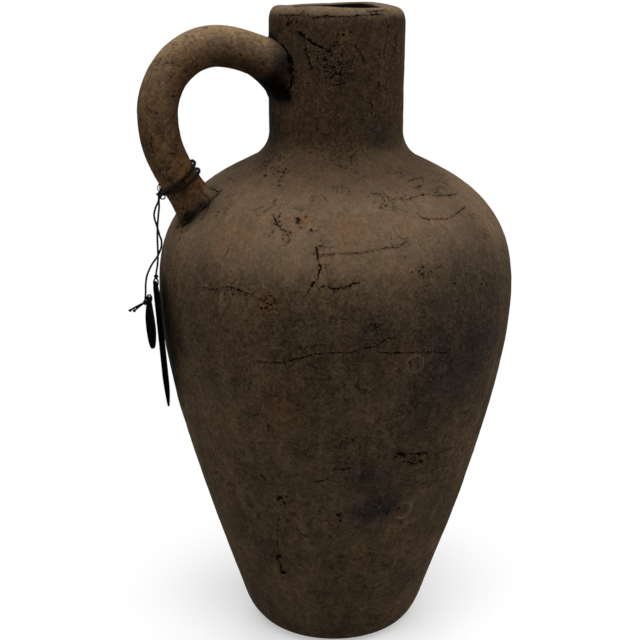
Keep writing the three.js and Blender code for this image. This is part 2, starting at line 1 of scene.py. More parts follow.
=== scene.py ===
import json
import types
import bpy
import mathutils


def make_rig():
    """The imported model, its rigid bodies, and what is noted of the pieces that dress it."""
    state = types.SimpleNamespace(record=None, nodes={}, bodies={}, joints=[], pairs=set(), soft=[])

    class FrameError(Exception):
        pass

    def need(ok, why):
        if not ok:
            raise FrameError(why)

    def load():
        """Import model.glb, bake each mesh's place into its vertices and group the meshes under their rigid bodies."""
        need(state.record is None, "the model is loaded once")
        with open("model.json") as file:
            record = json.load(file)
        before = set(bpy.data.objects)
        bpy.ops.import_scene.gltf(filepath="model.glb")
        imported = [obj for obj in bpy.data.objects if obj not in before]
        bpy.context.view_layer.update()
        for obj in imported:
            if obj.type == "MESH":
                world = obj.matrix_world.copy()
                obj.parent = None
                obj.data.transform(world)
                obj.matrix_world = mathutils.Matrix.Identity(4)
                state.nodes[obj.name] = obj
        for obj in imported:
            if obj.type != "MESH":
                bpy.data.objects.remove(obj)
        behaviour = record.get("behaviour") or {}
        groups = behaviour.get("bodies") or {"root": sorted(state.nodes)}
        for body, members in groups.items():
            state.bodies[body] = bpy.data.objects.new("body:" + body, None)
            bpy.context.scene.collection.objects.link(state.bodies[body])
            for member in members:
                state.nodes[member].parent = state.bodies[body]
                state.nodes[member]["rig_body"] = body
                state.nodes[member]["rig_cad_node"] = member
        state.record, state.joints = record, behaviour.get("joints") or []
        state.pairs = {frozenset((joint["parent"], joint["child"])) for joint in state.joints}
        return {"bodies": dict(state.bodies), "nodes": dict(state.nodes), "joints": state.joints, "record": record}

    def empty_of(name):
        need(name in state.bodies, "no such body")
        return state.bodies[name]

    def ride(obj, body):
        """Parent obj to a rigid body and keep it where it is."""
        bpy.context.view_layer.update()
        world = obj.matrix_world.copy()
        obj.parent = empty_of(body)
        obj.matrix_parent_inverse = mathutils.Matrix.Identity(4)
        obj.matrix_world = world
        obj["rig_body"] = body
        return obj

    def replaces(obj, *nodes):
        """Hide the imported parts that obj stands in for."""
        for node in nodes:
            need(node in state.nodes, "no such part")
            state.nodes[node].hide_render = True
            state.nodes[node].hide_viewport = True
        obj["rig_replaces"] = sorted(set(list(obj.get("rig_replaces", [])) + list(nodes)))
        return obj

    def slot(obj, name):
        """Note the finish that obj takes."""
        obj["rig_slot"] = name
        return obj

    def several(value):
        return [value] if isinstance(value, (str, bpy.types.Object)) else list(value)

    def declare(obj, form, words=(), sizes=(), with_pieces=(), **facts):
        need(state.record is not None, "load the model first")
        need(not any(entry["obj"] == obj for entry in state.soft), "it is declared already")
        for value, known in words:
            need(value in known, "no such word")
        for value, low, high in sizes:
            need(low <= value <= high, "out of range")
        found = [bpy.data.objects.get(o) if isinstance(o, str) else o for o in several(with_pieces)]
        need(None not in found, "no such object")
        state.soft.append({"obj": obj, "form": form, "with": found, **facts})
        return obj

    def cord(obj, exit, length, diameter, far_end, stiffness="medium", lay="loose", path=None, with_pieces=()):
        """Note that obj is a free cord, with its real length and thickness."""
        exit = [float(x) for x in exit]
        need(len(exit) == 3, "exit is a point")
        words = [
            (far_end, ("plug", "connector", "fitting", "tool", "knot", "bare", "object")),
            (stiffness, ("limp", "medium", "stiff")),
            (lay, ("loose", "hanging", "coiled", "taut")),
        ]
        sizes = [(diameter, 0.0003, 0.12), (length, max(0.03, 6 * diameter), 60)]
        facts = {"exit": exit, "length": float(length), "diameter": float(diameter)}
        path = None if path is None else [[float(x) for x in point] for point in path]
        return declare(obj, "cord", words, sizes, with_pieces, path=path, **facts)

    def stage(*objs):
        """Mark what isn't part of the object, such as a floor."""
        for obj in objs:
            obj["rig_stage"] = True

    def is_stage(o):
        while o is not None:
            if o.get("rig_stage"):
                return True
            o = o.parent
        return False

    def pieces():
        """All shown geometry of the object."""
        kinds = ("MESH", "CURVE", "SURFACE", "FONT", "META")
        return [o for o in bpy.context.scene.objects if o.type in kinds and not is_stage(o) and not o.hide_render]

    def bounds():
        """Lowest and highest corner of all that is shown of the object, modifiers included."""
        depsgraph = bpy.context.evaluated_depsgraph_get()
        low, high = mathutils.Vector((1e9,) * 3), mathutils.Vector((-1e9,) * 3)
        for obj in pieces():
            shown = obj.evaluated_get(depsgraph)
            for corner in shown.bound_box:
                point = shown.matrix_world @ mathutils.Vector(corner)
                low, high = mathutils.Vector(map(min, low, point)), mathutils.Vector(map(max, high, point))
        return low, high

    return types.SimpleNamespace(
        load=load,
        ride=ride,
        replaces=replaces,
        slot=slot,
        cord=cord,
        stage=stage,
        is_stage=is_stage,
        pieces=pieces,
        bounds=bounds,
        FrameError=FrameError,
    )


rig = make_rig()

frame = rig.load()

# A hand-built earthenware jug vase: fired clay sections, a luted loop handle, and two card tags on a thin cord.
# Shapes are worked out in millimetres and scaled to metres when a piece is finished.

import json
import math
import random
from bisect import bisect

import bmesh
import bpy
from mathutils import Matrix, Vector, noise
from mathutils.bvhtree import BVHTree
from mathutils.kdtree import KDTree

CAD_BOX = [list(corner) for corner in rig.bounds()]
MM = 0.001
UP = Vector((0, 0, 1))

# Camera: the photograph's frame in pixels, and where it was taken from
PHOTO_SIDE = 640
PHOTO_FOCAL = 1323.06
PHOTO_MIDDLE = (334.83, 320)
CAMERA_BACK = 814.0
CAMERA_H = 451.2
CAMERA_TURN = math.radians(-20)
CAMERA_DIP = math.radians(16.91)
CAMERA_ROLL = math.radians(0.395)
SENSOR = 36

# Vessel outline
FOOT_FLAT_R, FOOT_EDGE_R = 44, 53.7
WALL_FOOT_R, WALL_FOOT_H, WALL_FOOT_PULL = 60, 18.6, 56.8
BELLY_R, BELLY_H, BELLY_DROP, BELLY_RISE = 111.4, 227, 56.3, 44.4
SHOULDER_PULL, SHOULDER_SLOPE = 44.2, math.radians(24.8)
NECK_R, NECK_FILLET, NECK_START_H, NECK_TOP_H = 41.1, 20, 326.7, 396
WALL, FLOOR, FLOOR_ROUND, SCARF = 8.5, 11, 8, 4
BASE_SEAM_H, FOOT_SEAM_H, BELLY_SEAM_H, COURSE_SEAM_H = 13.5, 143, 213, 248
NECK_BORE_R, NECK_BORE_RISE = 28, 9
RIM_H, RIM_BORE_R, RIM_LIP_ROUND, RIM_LIP_DROP, RIM_SCARF = 4, 24, 4, 9, 7.5
JUG_H = NECK_TOP_H + RIM_H
RIM_SHOULDER, RIM_ROUND = 5, 8
# Where the rim stands higher: which way from the axis, how far round, how much
RIM_RISES = [
    (math.radians(42), 0.62, 1.6), (math.radians(155), 0.45, 0.7),
    (math.radians(-100), 0.8, 1.05), (math.radians(-142), 0.5, 1.25),
]
RIM_WOBBLE, RIM_WOBBLES, RIM_LEAN_HEIGHTS = 0.15, 5, (392, 399.5)

# Handle
HANDLE_R = 12
ROOT_DROP, ROOT_TILT, ROOT_PULL = 27.7, math.radians(27), 13
PEAK_STANDOFF, PEAK_DROP, PEAK_PULL, CREST_PULL = 34.9, 17.1, 12, 18
STANDOFF, STANDOFF_DROP, BACK_PULL = 70.3, 56, 22
FOOT_DROP, FOOT_TILT, FOOT_PULL = 41.7, math.radians(61), 24
HANDLE_BITE, HANDLE_SINK = 16, 3
# The head leans aside over a length of the handle. Both ends swell near the vessel, the head mostly at its sides
HEAD_LEAN, HEAD_LEAN_LENGTH = 4, 42
SWELL_REACH, FOOT_SWELL, HEAD_SWELL, HEAD_SIDE_SWELL, HEAD_SWELL_OFF = 6, 1.4, 0.3, 4.2, 2.5
HEAD_DRAW, HEAD_DRAW_OFF, HEAD_TUCK, HEAD_TUCK_LENGTH = 4.2, (2, -0.6), 2, 5
# Clay pressed round the ends, each size as its least, the seed and amount of its raggedness, and what is added under
# the handle
HEAD_LUTE = {"height": (1.6, 1.3, 0.8, 18.4), "spread": (4.6, 5.2, 1.8, 4.9), "lift": (0.4, 9.4, 0.5)}
FOOT_LUTE = {"height": (6, 2.4, 2.4), "spread": (2.8, 3.1, 1.4), "lift": (0.05, 7.7, 0.2)}
LUTE_BOW, LUTE_DEPTH, LUTE_TUCK, LUTE_RAGGEDNESS, LUTE_UNDER = 0.36, 2.0, 0.5, 2.2, (0.3, 1)
# Shares of the way down the pressed clay: its lip, and where it sinks in, lies on the vessel and meets the handle
LUTE_LIP, LUTE_LIP_WIDTH, LUTE_SINKS, LUTE_LIES, LUTE_MEETS = 0.86, 0.13, (0.93, 1), (0.0, 0.35), (0.12, 0)
# Torn lips of the foot's clay: turn round the handle from its outer side, width, added spread and added lift
FOOT_LIPS = [
    (math.radians(219), 0.26, 5.0, 2.2), (math.radians(252), 0.24, 1.8, 1.8), (math.radians(330), 0.3, 1.0, 0.8),
]

# Cord and tags
CORD_R, WRAP_R = 0.6, 0.95
WRAP_FROM_FOOT, WRAP_TURNS, WRAP_LIFTS, WRAP_LEAVE = 17, 2, (5.2, 1.6), math.radians(42)
WRAP_GAP, WRAP_SLACK = 0.2, 0.1
PLY_CORE, PLY_LOBE = 0.84, 0.24
KNOT_R, KNOT_TWIST, KNOT_THICKNESS = 2, 1.1, 1.3
# Knots: size, turn and radius of the cord
TIE_KNOT, TAIL_KNOT = (1.6, 0.7, 0.6), (0.75, 2.3, 0.4)
OVAL_END_KNOT, LONG_END_KNOT = (1.25, 1.9, 0.5), (1.1, 0.4, 0.5)
# Small rings of cord: half width, half height and radius of the cord
WRAP_RING, KNOT_RING = (1.2, 1.4, 0.42), (1.5, 1.4, 0.4)
KNOT_RING_OFF, KNOT_LOOP_R, TAG_LOOP_R = (1.9, -1.4, 1.2), 0.3, 0.5
# Places on the cord: out from the vessel's axis, across, up
KNOT_SEEN = (111.6, 0, 292.7)
KNOT_LOOP = [(111.6, -0.4, 294), (112.7, -0.5, 296), (112.7, -0.5, 297.8), (111.9, -0.4, 299.1), (111.5, -0.2, 297.6),
             (111.5, -0.1, 294)]
WRAP_RINGS = [(91.2, 0, 311.1), (87.9, 0, 305.3)]
OVAL_KNOT_AT, LONG_KNOT_AT = (122.7, 0, 226.8), (115.5, 0, 242.6)
TAILS = [(132.4, -1.6, 223.1), (129.2, 1.8, 221.6)]
OVAL_ROUTE = [
    (112.8, -0.95, 288.8), (114.6, -0.95, 285), (115.6, -0.95, 281.2), (115.3, -0.95, 278), (114.6, -1, 275.6),
    (113.6, -1, 271.8), (112.6, -0.75, 268), (111.5, 0, 264.9), (111.4, 0.6, 261.2), (112.3, 0.9, 258.2),
    (114.2, 1, 254.4), (117.5, 0.9, 250.1), (119.6, 0.6, 246.4), (121.2, 0.3, 242.6), (122, 0.15, 237.4),
    (122.2, 0, 233),
]
LONG_ROUTE = [
    (112, 0.95, 288.8), (112, 0.95, 285), (112.5, 0.95, 281), (112.9, 0.95, 277.6), (113.3, 1, 274),
    (113.5, 1, 270), (113.7, 0.8, 266.8), (113.8, 0.4, 264), (113.9, -0.2, 261), (114, -0.75, 257.6),
    (114.2, -1, 254), (114.3, -0.9, 252.2), (114.6, -0.5, 249), (115, -0.1, 246.6),
]
STRAND_ROOTS, STRAND_SPREAD = (0.7, -0.2), 0.95
OVAL_STRAND_LENGTH, LONG_STRAND_LENGTH = 0.068, 0.048
TAG_HOLE_R, TAG_MARGIN, TAG_BEVEL, TAG_FACE = 1.8, 1.9, 0.25, 0.02
OVAL_TAG = {"width": 24, "length": 33, "thickness": 1.6, "hole": (120.1, 226.6), "lean": 1.2, "loop": (1.5, 2.4)}
LONG_TAG = {"width": 14, "length": 82, "thickness": 1.3, "hole": (115.7, 236), "lean": 4.0, "loop": (1.35, 2.65)}
OVAL_TAG_TAPER, OVAL_TAG_TAPERS = 0.42, (-0.2, 1)
LONG_TAG_POINT, LONG_TAG_SHOULDER, LONG_TAG_CROWN = 20, 8, math.radians(38)

# Mesh fineness
RING_SIDES, SLICE_DOUBLINGS = 480, 4
SKIN_STEP, INSIDE_STEP, CURVE_STEPS = 1.4, 7.0, 160
BORE_STEPS, FLARE_STEPS, FLOOR_STEPS, RIM_STEPS, LIP_STEPS = 12, 6, 4, 9, 6
HANDLE_SIDES, HANDLE_STEP = 72, 1.0
LUTE_SIDES, LUTE_ROWS, LUTE_SEARCH, LUTE_HALVINGS = 120, 14, 26.0, 30
CORD_SIDES, CORD_STEP, TWIST_PITCH = 12, 0.3, 5.4
WRAP_STEPS, WRAP_SMOOTHING, KNOT_STEPS, RING_STEPS, LOOP_STEPS, TAIL_STEPS = 84, 3, 60, 24, 40, 20
TAG_SIDES, TAG_HOLE_SIDES, TAG_EDGE_STEPS, TAG_POINT_STEPS, TAG_CROWN_STEPS, TAG_CORNER_STEPS = 96, 36, 30, 16, 6, 10
WELD = 0.001

SEED = 11
random.seed(SEED)


def ease(low, high, value):
    share = min(1.0, max(0.0, (value - low) / (high - low)))
    return share * share * (3 - 2 * share)


def bell(distance, width):
    return math.exp(-(distance / width) ** 2)


def turns(count, more=0):
    """Even angles round a ring, and any more that close it."""
    return [2 * math.pi * i / count for i in range(count + more)]


# Camera, light and floor

CAMERA_AT = (
    Matrix.Rotation(CAMERA_TURN, 4, "Z")
    @ Matrix.Translation((0, -CAMERA_BACK, CAMERA_H))
    @ Matrix.Rotation(math.pi / 2 - CAMERA_DIP, 4, "X")
    @ Matrix.Rotation(CAMERA_ROLL, 4, "Z")
)


def photo_camera():
    data = bpy.data.cameras.new("photo_camera")
    data.sensor_width = SENSOR
    data.lens = PHOTO_FOCAL / PHOTO_SIDE * SENSOR
    data.shift_x = (PHOTO_SIDE / 2 - PHOTO_MIDDLE[0]) / PHOTO_SIDE
    camera = bpy.data.objects.new("photo_camera", data)
    bpy.context.scene.collection.objects.link(camera)
    camera.matrix_world = Matrix.Translation(CAMERA_AT.translation * MM) @ CAMERA_AT.to_3x3().to_4x4()
    bpy.context.scene.camera = camera


def photo_ray(pixel):
    """Start and direction of the sight line through a pixel of the photograph."""
    x = (pixel[0] - PHOTO_MIDDLE[0]) / PHOTO_FOCAL
    y = (PHOTO_MIDDLE[1] - pixel[1]) / PHOTO_FOCAL
    return CAMERA_AT.translation.copy(), (CAMERA_AT.to_3x3() @ Vector((x, y, -1))).normalized()


def softbox(name, place, aim, size, power):
    data = bpy.data.lights.new(name, "AREA")
    data.shape = "SQUARE"
    data.size = size
    data.energy = power
    lamp = bpy.data.objects.new(name, data)
    bpy.context.scene.collection.objects.link(lamp)
    lamp.location = place
    lamp.rotation_euler = (Vector(aim) - Vector(place)).to_track_quat("-Z", "Y").to_euler()


def srgb(red, green, blue):
    """A colour as painters and screens give it, 0 to 255, for a shader."""
    def linear(value):
        value /= 255
        return value / 12.92 if value <= 0.04045 else ((value + 0.055) / 1.055) ** 2.4
    return (linear(red), linear(green), linear(blue), 1)


def add(tree, kind, inputs=None, **settings):
    """A new node; an input is a value or another node's output."""
    made = tree.nodes.new(kind)
    for key, value in settings.items():
        setattr(made, key, value)
    for socket, value in (inputs or {}).items():
        if isinstance(value, bpy.types.NodeSocket):
            tree.links.new(value, made.inputs[socket])
        else:
            made.inputs[socket].default_value = value
    return made


MIX_FACTOR, MIX_A, MIX_B, MIX_COLOUR = 0, 6, 7, 2


def mix(tree, share, first, second, blend="MIX"):
    made = add(tree, "ShaderNodeMix", {MIX_FACTOR: share, MIX_A: first, MIX_B: second},
               data_type="RGBA", blend_type=blend)
    return made.outputs[MIX_COLOUR]


def fade(tree, value, low, high, to_low=0.0, to_high=1.0):
    made = add(tree, "ShaderNodeMapRange",
               {"Value": value, "From Min": low, "From Max": high, "To Min": to_low, "To Max": to_high},
               interpolation_type="SMOOTHSTEP")
    return made.outputs["Result"]


def times(tree, first, second, operation="MULTIPLY"):
    return add(tree, "ShaderNodeMath", {0: first, 1: second}, operation=operation).outputs[0]


def grain(tree, place, scale, detail=2.0, roughness=0.5, swirl=0.0):
    made = add(tree, "ShaderNodeTexNoise", {"Vector": place, "Scale": scale, "Detail": detail,
                                            "Roughness": roughness, "Distortion": swirl})
    return made.outputs["Fac"]


VEIN_ROUGHNESS, VEIN_SWIRL = 0.6, 1.2


def vein(tree, place, scale, detail, width):
    """Thin wandering lines, where a grain crosses its middle."""
    level = times(tree, grain(tree, place, scale, detail, VEIN_ROUGHNESS, VEIN_SWIRL), 0.5, "SUBTRACT")
    return fade(tree, times(tree, level, 0.0, "ABSOLUTE"), width, 0)


def attribute(tree, name):
    return add(tree, "ShaderNodeAttribute", attribute_name=name).outputs["Fac"]


def new_material(name):
    material = bpy.data.materials.new(name)
    material.use_nodes = True
    material.node_tree.nodes.clear()
    tree = material.node_tree
    end = tree.nodes.new("ShaderNodeOutputMaterial")
    place = tree.nodes.new("ShaderNodeTexCoord").outputs["Object"]
    return material, tree, end, place


def seen_directly(tree):
    path = tree.nodes.new("ShaderNodeLightPath").outputs
    mirror = times(tree, path["Is Glossy Ray"], path["Is Transmission Ray"], "MAXIMUM")
    return times(tree, path["Is Camera Ray"], mirror, "MAXIMUM")


FLOOR_SIDE = 12
FLOOR_PALE, FLOOR_BOUNCE = srgb(228, 228, 228), srgb(176, 174, 171)
FLOOR_GLOW, FLOOR_SHADOW = 0.4, (0.06, 0.26)
WHITE, WORLD_DIM = (1, 1, 1, 1), 0.36
# Each lamp's place and aim in metres, its side and its power
SOFTBOXES = {
    "overhead_softbox": ((-0.17, -0.38, 1.7), (0, 0, 0.3), 1.3, 18.8),
    "left_softbox": ((-1.5, -0.5, 0.7), (0, 0, 0.2), 1.0, 1.7),
    "right_softbox": ((1.5, -0.2, 0.7), (0, 0, 0.2), 1.0, 7.5),
    "back_softbox": ((0.3, 1.6, 0.9), (0, 0, 0.25), 1.0, 5),
}


def studio():
    world = bpy.data.worlds.new("studio")
    bpy.context.scene.world = world
    world.use_nodes = True
    tree = world.node_tree
    tree.nodes.clear()
    strength = fade(tree, seen_directly(tree), 0, 1, WORLD_DIM, 1)
    sky = add(tree, "ShaderNodeBackground", {"Color": WHITE, "Strength": strength})
    end = tree.nodes.new("ShaderNodeOutputWorld")
    tree.links.new(sky.outputs[0], end.inputs["Surface"])
    for name, lamp in SOFTBOXES.items():
        softbox(name, *lamp)

    bm = bmesh.new()
    bmesh.ops.create_grid(bm, x_segments=1, y_segments=1, size=FLOOR_SIDE / 2)
    mesh = bpy.data.meshes.new("studio_floor")
    bm.to_mesh(mesh)
    bm.free()
    floor = bpy.data.objects.new("studio_floor", mesh)
    bpy.context.scene.collection.objects.link(floor)
    material, tree, end, place = new_material("pale_studio_floor")
    off_middle = add(tree, "ShaderNodeVectorMath", {0: place}, operation="LENGTH").outputs["Value"]
    far = fade(tree, off_middle, *FLOOR_SHADOW)
    matt = add(tree, "ShaderNodeBsdfDiffuse", {"Color": FLOOR_PALE})
    glow = add(tree, "ShaderNodeEmission", {"Color": WHITE, "Strength": FLOOR_GLOW})
    lit = add(tree, "ShaderNodeAddShader", {0: matt.outputs[0], 1: glow.outputs[0]})
    white = add(tree, "ShaderNodeEmission", {"Color": WHITE, "Strength": 1.0})
    shown = add(tree, "ShaderNodeMixShader", {0: far, 1: lit.outputs[0], 2: white.outputs[0]})
    bounce = add(tree, "ShaderNodeBsdfDiffuse", {"Color": FLOOR_BOUNCE})
    both = add(tree, "ShaderNodeMixShader", {0: seen_directly(tree), 1: bounce.outputs[0], 2: shown.outputs[0]})
    tree.links.new(both.outputs[0], end.inputs["Surface"])
    mesh.materials.append(material)
    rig.stage(floor)


photo_camera()
studio()
bpy.context.scene.view_settings.view_transform = "Standard"

# Clay, cord and card

CLAY_DARK, CLAY_BROWN, CLAY_DEEP = srgb(61, 50, 39), srgb(80, 65, 50), srgb(46, 33, 23)
CLAY_SHOULDER, CLAY_STREAK, CLAY_OLIVE = srgb(107, 89, 71), srgb(122, 94, 70), srgb(94, 81, 56)
CLAY_DUST_AND_HIGHLIGHT, CLAY_OCHRE, CLAY_SOOT_AND_SHADE = srgb(146, 121, 92), srgb(97, 67, 38), srgb(42, 38, 36)
# Near black of the cracks, also the colour of the painted shade
CRACK_AND_SHADE_BLACK = srgb(9, 7, 5)
CORD_BLACK, CORD_PLY_BROWN = srgb(14, 11, 10), srgb(66, 38, 30)
CARD_BLACK, CARD_EDGE = srgb(9, 9, 9), srgb(26, 25, 24)
# Layers of colour kept on the clay's points. The blackest layer is painted shade and shadow; the soot layer is partly
# painted shade, and the pale layer partly painted light
PAINTS = ("rift", "soot_and_shade", "pale", "ochre", "deep", "painted_shade")

# Grains: scale, detail, roughness and swirl. Veins: scale, detail and width
CLAY_GRAINS = {
    "firing": (17, 4, 0.6), "cloud": (60, 5, 0.65), "mottle": (230, 4, 0.62, 1.4), "fleck": (950, 3, 0.65),
    "blotch": (120, 4, 0.65, 0.8), "crazing": (48, 3), "lumps": (300, 5, 0.65),
}
WORM_VEIN, CRAZE_VEIN = (210, 3, 0.05), (95, 6, 0.012)
# How the firing's clouds break a layer up: the level of cloud where it starts, and its least share
CLOUDED = {"pale": (0.25, 0.65), "dust_and_highlight": (0.3, 0.6), "ochre": (0.35, 0.25), "deep": (0.3, 0.6), "soot_and_shade": (0.34, 0.45)}
CLOUD_FULL = 0.6
# Upright wiping streaks: scale, colour and share
STREAKS = ((110, CLAY_STREAK, 0.42), (150, CLAY_OLIVE, 0.45))
STREAK_DETAIL, STREAK_ROUGHNESS, STREAK_LEVELS, STREAK_SQUASH, STREAK_LEAST = 3, 0.55, (0.48, 0.68), 0.14, 0.4
# Levels of a grain where a layer starts and is full, and what it does to the colour
FIRING_LEVELS, BLOTCH_LEVELS, GRAIN_LEVELS = (0.36, 0.64), (0.5, 0.36), (0.3, 0.7)
WORM_LEVELS, CRAZE_LEVELS, CRUMB_LEVELS = (0.47, 0.6), (0.55, 0.63), (0.54, 0.66)
MOTTLE_TONES, FLECK_TONES, FLECK_HEIGHTS, FLECK_LEAST = (0.62, 1.38), (0.7, 1.3), (0.03, 0.22), 0.3
BLOTCH_SHARE, WORM_SHARE, CRAZE_SHARE, STAIN_SHARE, CRUMB_SHARE, TORN_SHARE = 0.7, 0.16, 0.75, 0.35, 0.45, 0.94
# Millimetres from the edge of a crack or pit, and how the grains make that edge wander
STAIN_REACH, CRUMB_REACH, TORN_EDGE = (1.5, 0.1), (2.4, 0.5), (0.1, -0.06)
WANDER_FLECK, WANDER_MOTTLE, WANDER_MIDDLE = 1.5, 0.9, 1.2
CORD_FIBRE, CORD_PLY_RISE, CORD_PLY_LEVELS = (2600, 4, 0.7), (0.45, 1, 0, 0.75), (0.4, 0.7)
CARD_FIBRE, CARD_STREAK, CARD_SQUASH = (1500, 5, 0.7), (420, 3, 0.6), 0.2
CARD_STREAK_TONES, CARD_EDGE_LEVELS = (0.5, 0.75, 0, 0.22), (0.4, 0.62, 0.2, 0.9)
# Bumps: strength and distance
LUMP_BUMP, GAP_BUMP, CORD_BUMP, CARD_BUMP = (0.4, 0.001), (0.8, 0.0008), (0.5, 0.0001), (0.35, 0.00012)
CLAY_ROUGH, CORD_ROUGH, CARD_ROUGH = (0.78, 0.95), (0.55, 0.8), (0.7, 0.9)
CLAY_SHINE, CORD_SHINE, CARD_SHINE = 0.02, 0.06, 0.0
VESSEL_CALM, HANDLE_CALM = 0.45, 0.85


def bump(tree, size, height, under=None, invert=False):
    inputs = {"Strength": size[0], "Distance": size[1], "Height": height}
    if under is not None:
        inputs["Normal"] = under
    return add(tree, "ShaderNodeBump", inputs, invert=invert).outputs[0]


def upright(tree, place, squash):
    """Places on which a grain runs in upright streaks."""
    return add(tree, "ShaderNodeMapping", {"Vector": place, "Scale": (1, 1, squash)}).outputs["Vector"]


def set_surface(tree, end, colour, roughness, shine, normal):
    shader = add(tree, "ShaderNodeBsdfPrincipled", {
        "Base Color": colour, "Roughness": roughness, "Specular IOR Level": shine, "Normal": normal,
    })
    tree.links.new(shader.outputs[0], end.inputs["Surface"])


def fired_clay(name, calm):
    """Unglazed brown earthenware, calmer where it is pale: patchy firing, wiping streaks, soot, cracks and pits, with
    painted light where it faces up and near black painted shade.
    """
    material, tree, end, place = new_material(name)
    rift, soot_and_shade, pale, ochre, deep, painted_shade = (attribute(tree, layer) for layer in PAINTS)
    firing, cloud, mottle, fleck, blotch, crazing, lumps = (grain(tree, place, *kind) for kind in CLAY_GRAINS.values())

    def clouded(layer, kind):
        start, least = CLOUDED[kind]
        return times(tree, layer, fade(tree, cloud, start, CLOUD_FULL, least, 1))

    colour = mix(tree, fade(tree, firing, *FIRING_LEVELS), CLAY_DARK, CLAY_BROWN)
    # Paler where the clay faces up, which is partly painted light
    colour = mix(tree, clouded(pale, "pale"), colour, CLAY_SHOULDER)
    wiped = upright(tree, place, STREAK_SQUASH)
    for scale, tint, share in STREAKS:
        streak = fade(tree, grain(tree, wiped, scale, STREAK_DETAIL, STREAK_ROUGHNESS), *STREAK_LEVELS)
        colour = mix(tree, times(tree, streak, fade(tree, pale, 0, 1, STREAK_LEAST * share, share)), colour, tint)
    # Pale crumbs, and a painted highlight along the handle's top
    colour = mix(tree, clouded(fade(tree, pale, 1, 2), "dust_and_highlight"), colour, CLAY_DUST_AND_HIGHLIGHT)
    colour = mix(tree, clouded(ochre, "ochre"), colour, CLAY_OCHRE)
    patches = times(tree, ochre, fade(tree, blotch, *BLOTCH_LEVELS))
    colour = mix(tree, times(tree, patches, BLOTCH_SHARE), colour, CLAY_DEEP)
    # Darker clay round the neck and the belly; round the neck's foot it is painted shade
    colour = mix(tree, clouded(deep, "deep"), colour, CLAY_DEEP)
    # Fire clouds of soot, and painted shade beside the handle's root and foot
    colour = mix(tree, clouded(soot_and_shade, "soot_and_shade"), colour, CLAY_SOOT_AND_SHADE)
    height = add(tree, "ShaderNodeSeparateXYZ", {0: place}).outputs["Z"]
    strong = fade(tree, pale, 0, 1, 1, calm)
    colour = mix(tree, strong, colour, fade(tree, mottle, *GRAIN_LEVELS, *MOTTLE_TONES), "MULTIPLY")
    strong = times(tree, strong, fade(tree, height, *FLECK_HEIGHTS, FLECK_LEAST, 1))
    colour = mix(tree, strong, colour, fade(tree, fleck, *GRAIN_LEVELS, *FLECK_TONES), "MULTIPLY")
    wormy = times(tree, vein(tree, place, *WORM_VEIN), fade(tree, cloud, *WORM_LEVELS))
    colour = mix(tree, times(tree, wormy, WORM_SHARE), colour, CLAY_DUST_AND_HIGHLIGHT)
    craze = times(tree, vein(tree, place, *CRAZE_VEIN), fade(tree, crazing, *CRAZE_LEVELS))
    colour = mix(tree, times(tree, craze, CRAZE_SHARE), colour, CRACK_AND_SHADE_BLACK)
    colour = mix(tree, times(tree, fade(tree, rift, *STAIN_REACH), STAIN_SHARE), colour, CLAY_DEEP)
    crumb = times(tree, fade(tree, rift, *CRUMB_REACH), fade(tree, fleck, *CRUMB_LEVELS))
    colour = mix(tree, times(tree, crumb, CRUMB_SHARE), colour, CLAY_STREAK)
    # Painted shade and shadow, near black
    colour = mix(tree, painted_shade, colour, CRACK_AND_SHADE_BLACK)
    wander = times(tree, times(tree, fleck, WANDER_FLECK), times(tree, mottle, WANDER_MOTTLE), "ADD")
    torn = fade(tree, times(tree, times(tree, rift, wander, "ADD"), WANDER_MIDDLE, "SUBTRACT"), *TORN_EDGE)
    colour = mix(tree, times(tree, torn, TORN_SHARE), colour, CRACK_AND_SHADE_BLACK)
    gaps = bump(tree, GAP_BUMP, times(tree, torn, craze, "MAXIMUM"), bump(tree, LUMP_BUMP, lumps), invert=True)
    set_surface(tree, end, colour, fade(tree, cloud, *GRAIN_LEVELS, *CLAY_ROUGH), CLAY_SHINE, gaps)
    return material


def waxed_cord():
    """Thin black two-ply cord, browner along the top of each ply."""
    material, tree, end, place = new_material("waxed_cord")
    fibre = grain(tree, place, *CORD_FIBRE)
    ply_tops = times(tree, fade(tree, attribute(tree, "ply"), *CORD_PLY_RISE), fade(tree, fibre, *CORD_PLY_LEVELS))
    colour = mix(tree, ply_tops, CORD_BLACK, CORD_PLY_BROWN)
    rough = fade(tree, fibre, *GRAIN_LEVELS, *CORD_ROUGH)
    set_surface(tree, end, colour, rough, CORD_SHINE, bump(tree, CORD_BUMP, fibre))
    return material


def black_card():
    """Black tag card with fine fibres, greyer at its edges."""
    material, tree, end, place = new_material("black_card")
    fibre = grain(tree, place, *CARD_FIBRE)
    streak = grain(tree, upright(tree, place, CARD_SQUASH), *CARD_STREAK)
    greyer = times(tree, attribute(tree, "edge"), fade(tree, fibre, *CARD_EDGE_LEVELS))
    colour = mix(tree, fade(tree, streak, *CARD_STREAK_TONES), CARD_BLACK, CARD_EDGE)
    colour = mix(tree, greyer, colour, CARD_EDGE)
    rough = fade(tree, fibre, *GRAIN_LEVELS, *CARD_ROUGH)
    set_surface(tree, end, colour, rough, CARD_SHINE, bump(tree, CARD_BUMP, fibre))
    return material


VESSEL_CLAY, HANDLE_CLAY = fired_clay("fired_clay", VESSEL_CALM), fired_clay("fired_handle_clay", HANDLE_CALM)
CORD, CARD = waxed_cord(), black_card()


def finish_piece(bm, name, node, body, slot, material):
    """Scales a piece to metres and sets it on its body in place of its solid."""
    bmesh.ops.scale(bm, vec=(MM, MM, MM), verts=bm.verts[:])
    for face in bm.faces:
        face.smooth = True
    mesh = bpy.data.meshes.new(name)
    bm.to_mesh(mesh)
    bm.free()
    mesh.materials.append(material)
    piece = bpy.data.objects.new(name, mesh)
    bpy.context.scene.collection.objects.link(piece)
    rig.ride(piece, body)
    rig.replaces(piece, node)
    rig.slot(piece, slot)
    return piece


